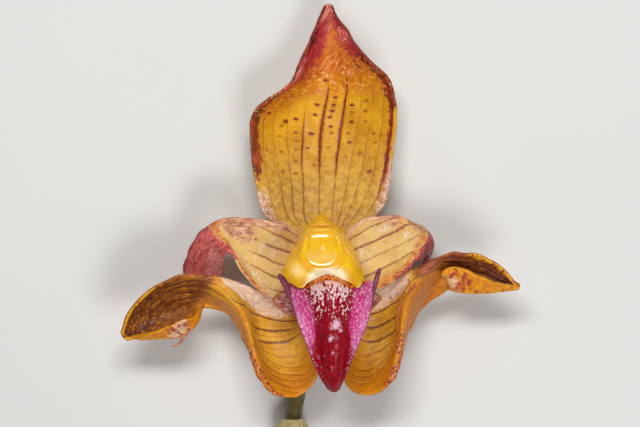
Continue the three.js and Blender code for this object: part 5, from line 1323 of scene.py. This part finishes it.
def column_parts():
    count = COLUMN_SIDES
    rim = loop(COLUMN_RIM, count)
    middle = COLUMN_MIDDLE
    angle = np.arctan2(rim[:, 1] - middle[1], rim[:, 0] - middle[0])

    def under(share, drop):
        ring = middle + (rim - middle) * share
        ring[:, 2] = rim[:, 2] + (middle[2] - rim[:, 2]) * (1 - share) - drop
        return ring

    def oval(centre, half, top, bottom, z):
        reach = np.where(np.sin(angle) > 0, top, bottom)
        return stack(centre + half * np.cos(angle), 0.4 + reach * np.sin(angle), z)

    def keyhole(z):
        down = np.maximum(0, -np.sin(angle)) ** 3
        x = 0.5 + 2.3 * np.cos(angle) * (1 - 0.35 * down) + 0.8 * down
        return stack(x, 0.4 + 2.4 * np.sin(angle) - 10.3 * down**2, z)

    arch = bell(rim[:, 0], 1.2, 3.4) * soft(0.5, -1.5, rim[:, 1])
    rim[:, 2] = np.minimum(rim[:, 2] + 1.1 * arch, ARCH_HEIGHT + 0.55 * soft(0.5, 0.95, arch))
    below = np.array([keyhole(COLUMN_SEAT), keyhole(11.4), oval(0.6, 2.6, 3.2, 7.0, 13.6),
                      oval(0.5, 3.2, 4.6, 4.6, 16.4), under(0.72, 2.3), under(0.97, 0.9), rim])
    body = spline(below, np.linspace(0, 1, BODY_RINGS))
    steps = 1 - np.linspace(0, 1, FACE_RINGS)[1:-1] ** 1.35
    face = middle + (rim - middle) * steps[:, None, None]
    flat = face[..., :2]
    x, y = flat[..., 0], flat[..., 1]
    gap = np.linalg.norm(flat[:, :, None] - rim[None, None, :, :2], axis=-1)
    inward = (np.maximum(gap, 0.02) ** -8).sum(axis=-1) ** -0.125
    climb = 1 - (1 - np.clip(inward / 1.9, 0, 1)) ** (1.8 - 0.55 * soft(-0.5, -2.5, y))
    z = rim[:, 2] + (FACE_HEIGHT - rim[:, 2]) * climb
    within = ((np.abs(x - CAP["at"][0]) / 3.5) ** 2.78
              + (np.abs(y - CAP["at"][1] + 0.1) / 3.75) ** 2.78 < 1)
    outside = outside_cap(flat)
    collar = (COLLAR_HEIGHT + 0.05 * soft(1, -1, y) - 0.22 * np.clip(y - 3.6, 0, 3)
              - 0.9 * soft(0.3, 1.6, outside) * within)
    z = z + (collar - z) * np.where(within, 1, 1 - soft(0, 1.5, outside)) * climb
    fade = soft(0.9, 1.9, y)
    z -= 0.3 * fade * (bell(near_line(flat, CREASE_LEFT), 0, 0.2)
                       + bell(near_line(flat, CREASE_RIGHT), 0, 0.2))
    z += fade * (0.2 * bell(near_line(flat, RIDGE_RIGHT), 0, 0.24)
                 + 0.1 * bell(near_line(flat, RIDGE_LEFT), 0, 0.3))
    z += 0.4 * bell(y, 7.9, 0.9) * bell(x, 0.1, 2.0) - 0.4 * bell(y, 6.78, 0.2) * bell(x, 0.2, 2.6)
    face[..., 2] = z
    rings = np.concatenate([body, face])
    share = np.concatenate([np.ones(len(body)), steps])[:, None] * np.ones(count)
    return ring_parts(rings, column_zones(rings, share, angle))


def column_zones(rings, share, angle):
    """Colour zones of the column. Share is 1 at the rim and 0 in the middle of the face."""
    flat, (x, y, z) = rings[..., :2], np.moveaxis(rings, -1, 0)
    arch_edge = near_line(flat, ARCH)
    # Cream along the arch, partly a painted highlight, and a painted highlight on the left lobe
    cream_and_highlight = soft(2.3, 0.7, arch_edge) * soft(-3.6, -1.2, x) * soft(6.2, 3.8, x) * soft(18, 20, z)
    cream_and_highlight = np.maximum(cream_and_highlight, 0.4 * bell(np.hypot(x + 4.3, y + 1.5), 0, 1.2) * soft(18, 20, z))
    # Deeper orange in the creases, on the wings and just under the cap, partly painted shade
    orange_and_shade = bell(near_line(flat, CREASE_LEFT), 0, 0.3) + bell(near_line(flat, CREASE_RIGHT), 0, 0.3)
    wing = soft(0.66, 0.9, share) * soft(0.2, 0.6, np.abs(np.cos(angle)))[None, :] * soft(-2.6, 0.5, y)
    orange_and_shade = np.maximum(orange_and_shade * soft(0.6, 1.6, y) * (share < 1), 0.55 * wing)
    orange_and_shade = np.maximum(orange_and_shade, 0.9 * bell(outside_cap(flat), 0.15, 0.35) * soft(1.5, 0, y))
    beak = soft(6.5, 7.0, y) * soft(16, 17.5, z)
    brown = (bell(y, 6.78, 0.17) * bell(x, 0.2, 2.3) * (z > 17)
             + bell(np.hypot(x + 5.3, y + 2.6), 0, 0.18) * (z > 17))
    foot = 1 - soft(12, 17, z)
    # Painted shade along the lower borders of the lobes
    painted_lobe_shade = soft(2.2, 0.2, near_line(flat, LOBE_EDGES[0])) + soft(3.6, 0.6, near_line(flat, LOBE_EDGES[1]))
    return zone_fields((stack(cream_and_highlight, orange_and_shade, beak), stack(brown, foot, 0.0),
                        stack(np.clip(painted_lobe_shade, 0, 1), 0.0, 0.0)))


dress(make_object("column_flesh", *column_parts()), "column",
      column_material("column_flesh", 0.22))


def cap_parts():
    at = CAP["at"]
    angle = np.arange(180) / 180 * 2 * np.pi
    rings = []
    # The first two rings are the underside
    for share in np.concatenate([[0.9, 0.96], 1 - np.linspace(0, 1, 100)[:-1] ** 1.3]):
        base = cap_ring(angle, share)
        x, y = base[:, 0] - at[0], base[:, 1] - 3.1
        inset = (1 - share) * 3.6
        low, high = soft(0.2, -1.8, y), soft(2.2, 3.2, y)
        flank = soft(0.5, 0.95, np.abs(np.cos(angle))) * soft(-1.6, -0.4, y)
        round_off = 0.34 + 1.3 * flank + 0.2 * low - 0.14 * high
        roll = np.sqrt(1 - (1 - np.clip(inset / round_off, 0, 1)) ** 2) ** (1 + 0.5 * flank)
        bend = np.clip(y - 1.1, 0, 1.4)
        slope = (0.04 * y + 0.133 * bend**2 + 0.45 * np.clip(y - 2.5, 0, 0.5)
                 + 0.17 * np.clip(y - 3.0, 0, 1))
        crown = 1.42 - slope - x**2 / 19 - 0.1 * soft(0, -3, y)
        ridge = 0.075 * (1 - soft(0.5, 0.92, inset)) * low
        ledge = -0.14 * bell(y, 2.8, 0.15) * bell(x, 0, 3.2)
        far = np.hypot(x - 0.2, y + 0.43)
        dents = (-0.2 * bell(np.hypot(x - 0.1, y + 0.7), 0, 1.6) - 0.13 * bell(far, 0, 0.2)
                 + 0.06 * bell(far, 0.34, 0.13))
        base[:, 2] += 0.1 + (crown + 0.12) * roll + ridge + ledge + dents
        if len(rings) < 2:
            base[:, 2] = CAP_SEAT - 0.3 + 0.2 * len(rings)
        rings.append(base)
    rings = np.array(rings)
    x, y = rings[..., 0], rings[..., 1]
    # A painted highlight in the dimple, and a faint paler band lower on the cap
    pale = 0.6 * bell(np.hypot(x - 0.35, y - 2.67), 0, 0.26) + 0.12 * bell(y, 0.9, 1.1)
    spot = bell(np.hypot((x - 3.1) * 1.6, y - 4.05), 0, 0.42)
    # Deeper orange: a spot, the upper part, and painted shade under the lower ridge
    orange_and_shade = 0.8 * spot + 0.35 * soft(2.6, 5.5, y) + 0.5 * bell(y, -0.45, 0.2) * bell(x, 0, 1.6)
    red = (bell(y, 6.42, 0.16)
           * (0.9 * bell(x, -0.6, 0.24) + 0.8 * bell(x, 2.6, 0.3) + 0.5 * bell(x, -2.5, 0.35)))
    return ring_parts(rings, {"zone_a": stack(pale, orange_and_shade, 0.0), "zone_b": stack(0.0, 0.0, red)})


dress(make_object("anther_cap_flesh", *cap_parts()), "anther_cap",
      column_material("cap_flesh", 0.7))


# Stem and bract


def stalk_parts():
    def radius(t, angle):
        flare = (OVARY_RADIUS - STEM_RADIUS) * (1 - soft(0.03, 0.2, t))
        joint = soft(0.8, 0.84, t)
        pedicel = (PEDICEL_RADIUS - STEM_RADIUS) * soft(0.4, 0.6, t)
        ribs = 0.11 * np.cos(6 * angle) * (1 - soft(0.45, 0.65, t))
        lumps = 0.03 * np.sin(13 * t + 2 * angle) + 0.02 * np.sin(41 * t + 3 * angle)
        node = 0.1 * bell(t, 0.82, 0.012)
        return STEM_RADIUS + flare + pedicel + 0.2 * joint + ribs + lumps * soft(0.15, 0.25, t) + node

    line = spline(STEM_LINE, np.linspace(0, 1, 220))
    return tube_parts(line, 60, radius, RECEPTACLE_TOP)


dress(make_object("stalk_flesh", *stalk_parts()), "stalk",
      stem_material("stem_skin", (0.1, 0.085, 0.016), (0.2, 0.17, 0.04), (0.16, 0.05, 0.03)))


def bract_net():
    """A net that wraps the stem at the bract's foot and narrows to its tip."""
    rows = []
    for share in (0, 0.25, 0.5, 0.75, 0.96):
        middle = spline(STEM_LINE, np.array([BRACT_FOOT + (BRACT_TIP - BRACT_FOOT) * share]))[0]
        radius = 2.65 + 0.75 * share**2
        half_turn = 2.2 * np.sqrt(1 - share**2)
        turn = half_turn * np.array([-1, -0.6, -0.2, 0.2, 0.6, 1])
        rows.append(stack(middle[0] + radius * np.sin(turn), middle[1], middle[2] + radius * np.cos(turn)))
    return rows


def bract_parts():
    sheet = Sheet(bract_net(), 70, 70)
    sheet.lift(0.06 * np.sin(sheet.v * 60) + 0.08 * ripple(sheet.along, sheet.across, 2.5, 81))
    sheet.measure()
    fields = {"place": stack(0.3 + 0.5 * sheet.u, sheet.v, 0.0)}
    return blade_parts(sheet, BRACT_THICKNESS, fields, 0.3)


dress(make_object("bract_sheath", *bract_parts()), "bract",
      stem_material("bract_skin", (0.34, 0.27, 0.1), (0.5, 0.42, 0.2), (0.3, 0.12, 0.06)))


# Floor, light and camera


def floor_material():
    p = Paint("pale_floor", Specular_IOR_Level=0.2)
    c = p.mix(p.noise(60, 2), (0.74, 0.73, 0.71), (0.78, 0.77, 0.75))
    return p.finish(c, p.noise(3, 2) * 0.1 + 0.7, p.noise(1.5, 2) * 0.01)


FLOOR_REACH, FLOOR_DROP = 3.0, 2e-5
LIGHT_TARGET = (0, 0, 0.015)

floor_mesh = bpy.data.meshes.new("floor")
corners = [(x * FLOOR_REACH, y * FLOOR_REACH, -FLOOR_DROP) for x, y in ((-1, -1), (1, -1), (1, 1), (-1, 1))]
floor_mesh.from_pydata(corners, [], [(0, 1, 2, 3)])
floor = bpy.data.objects.new("floor", floor_mesh)
bpy.context.collection.objects.link(floor)
floor.data.materials.append(floor_material())


def softbox(name, place, size, power):
    """A lamp of the given size in metres that looks at the bloom."""
    light = bpy.data.lights.new(name, "AREA")
    light.shape, light.size, light.size_y, light.energy = "RECTANGLE", size[0], size[1], power
    lamp = bpy.data.objects.new(name, light)
    bpy.context.collection.objects.link(lamp)
    lamp.location = place
    lamp.rotation_euler = Vector(np.subtract(LIGHT_TARGET, place)).to_track_quat("-Z", "Y").to_euler()


softbox("key", (-0.03, 0.2, 0.42), (0.26, 0.08), 1.35)
softbox("fill", (0.12, -0.22, 0.36), (0.2, 0.12), 0.7)

world = bpy.data.worlds.new("studio")
bpy.context.scene.world = world
world.use_nodes = True
sky = world.node_tree.nodes["Background"]
sky.inputs["Color"].default_value = (1, 1, 1, 1)
sky.inputs["Strength"].default_value = 0.2
bpy.context.scene.view_settings.view_transform = "Standard"

# Above the open face, where the photo was taken from, in metres
lens = bpy.data.cameras.new("camera")
lens.sensor_width, lens.lens = 36.0, 133.2
lens.clip_start, lens.clip_end = 0.01, 10
camera = bpy.data.objects.new("camera", lens)
bpy.context.collection.objects.link(camera)
camera.location = (-0.000133, 0.009215, 0.465)
bpy.context.scene.camera = camera
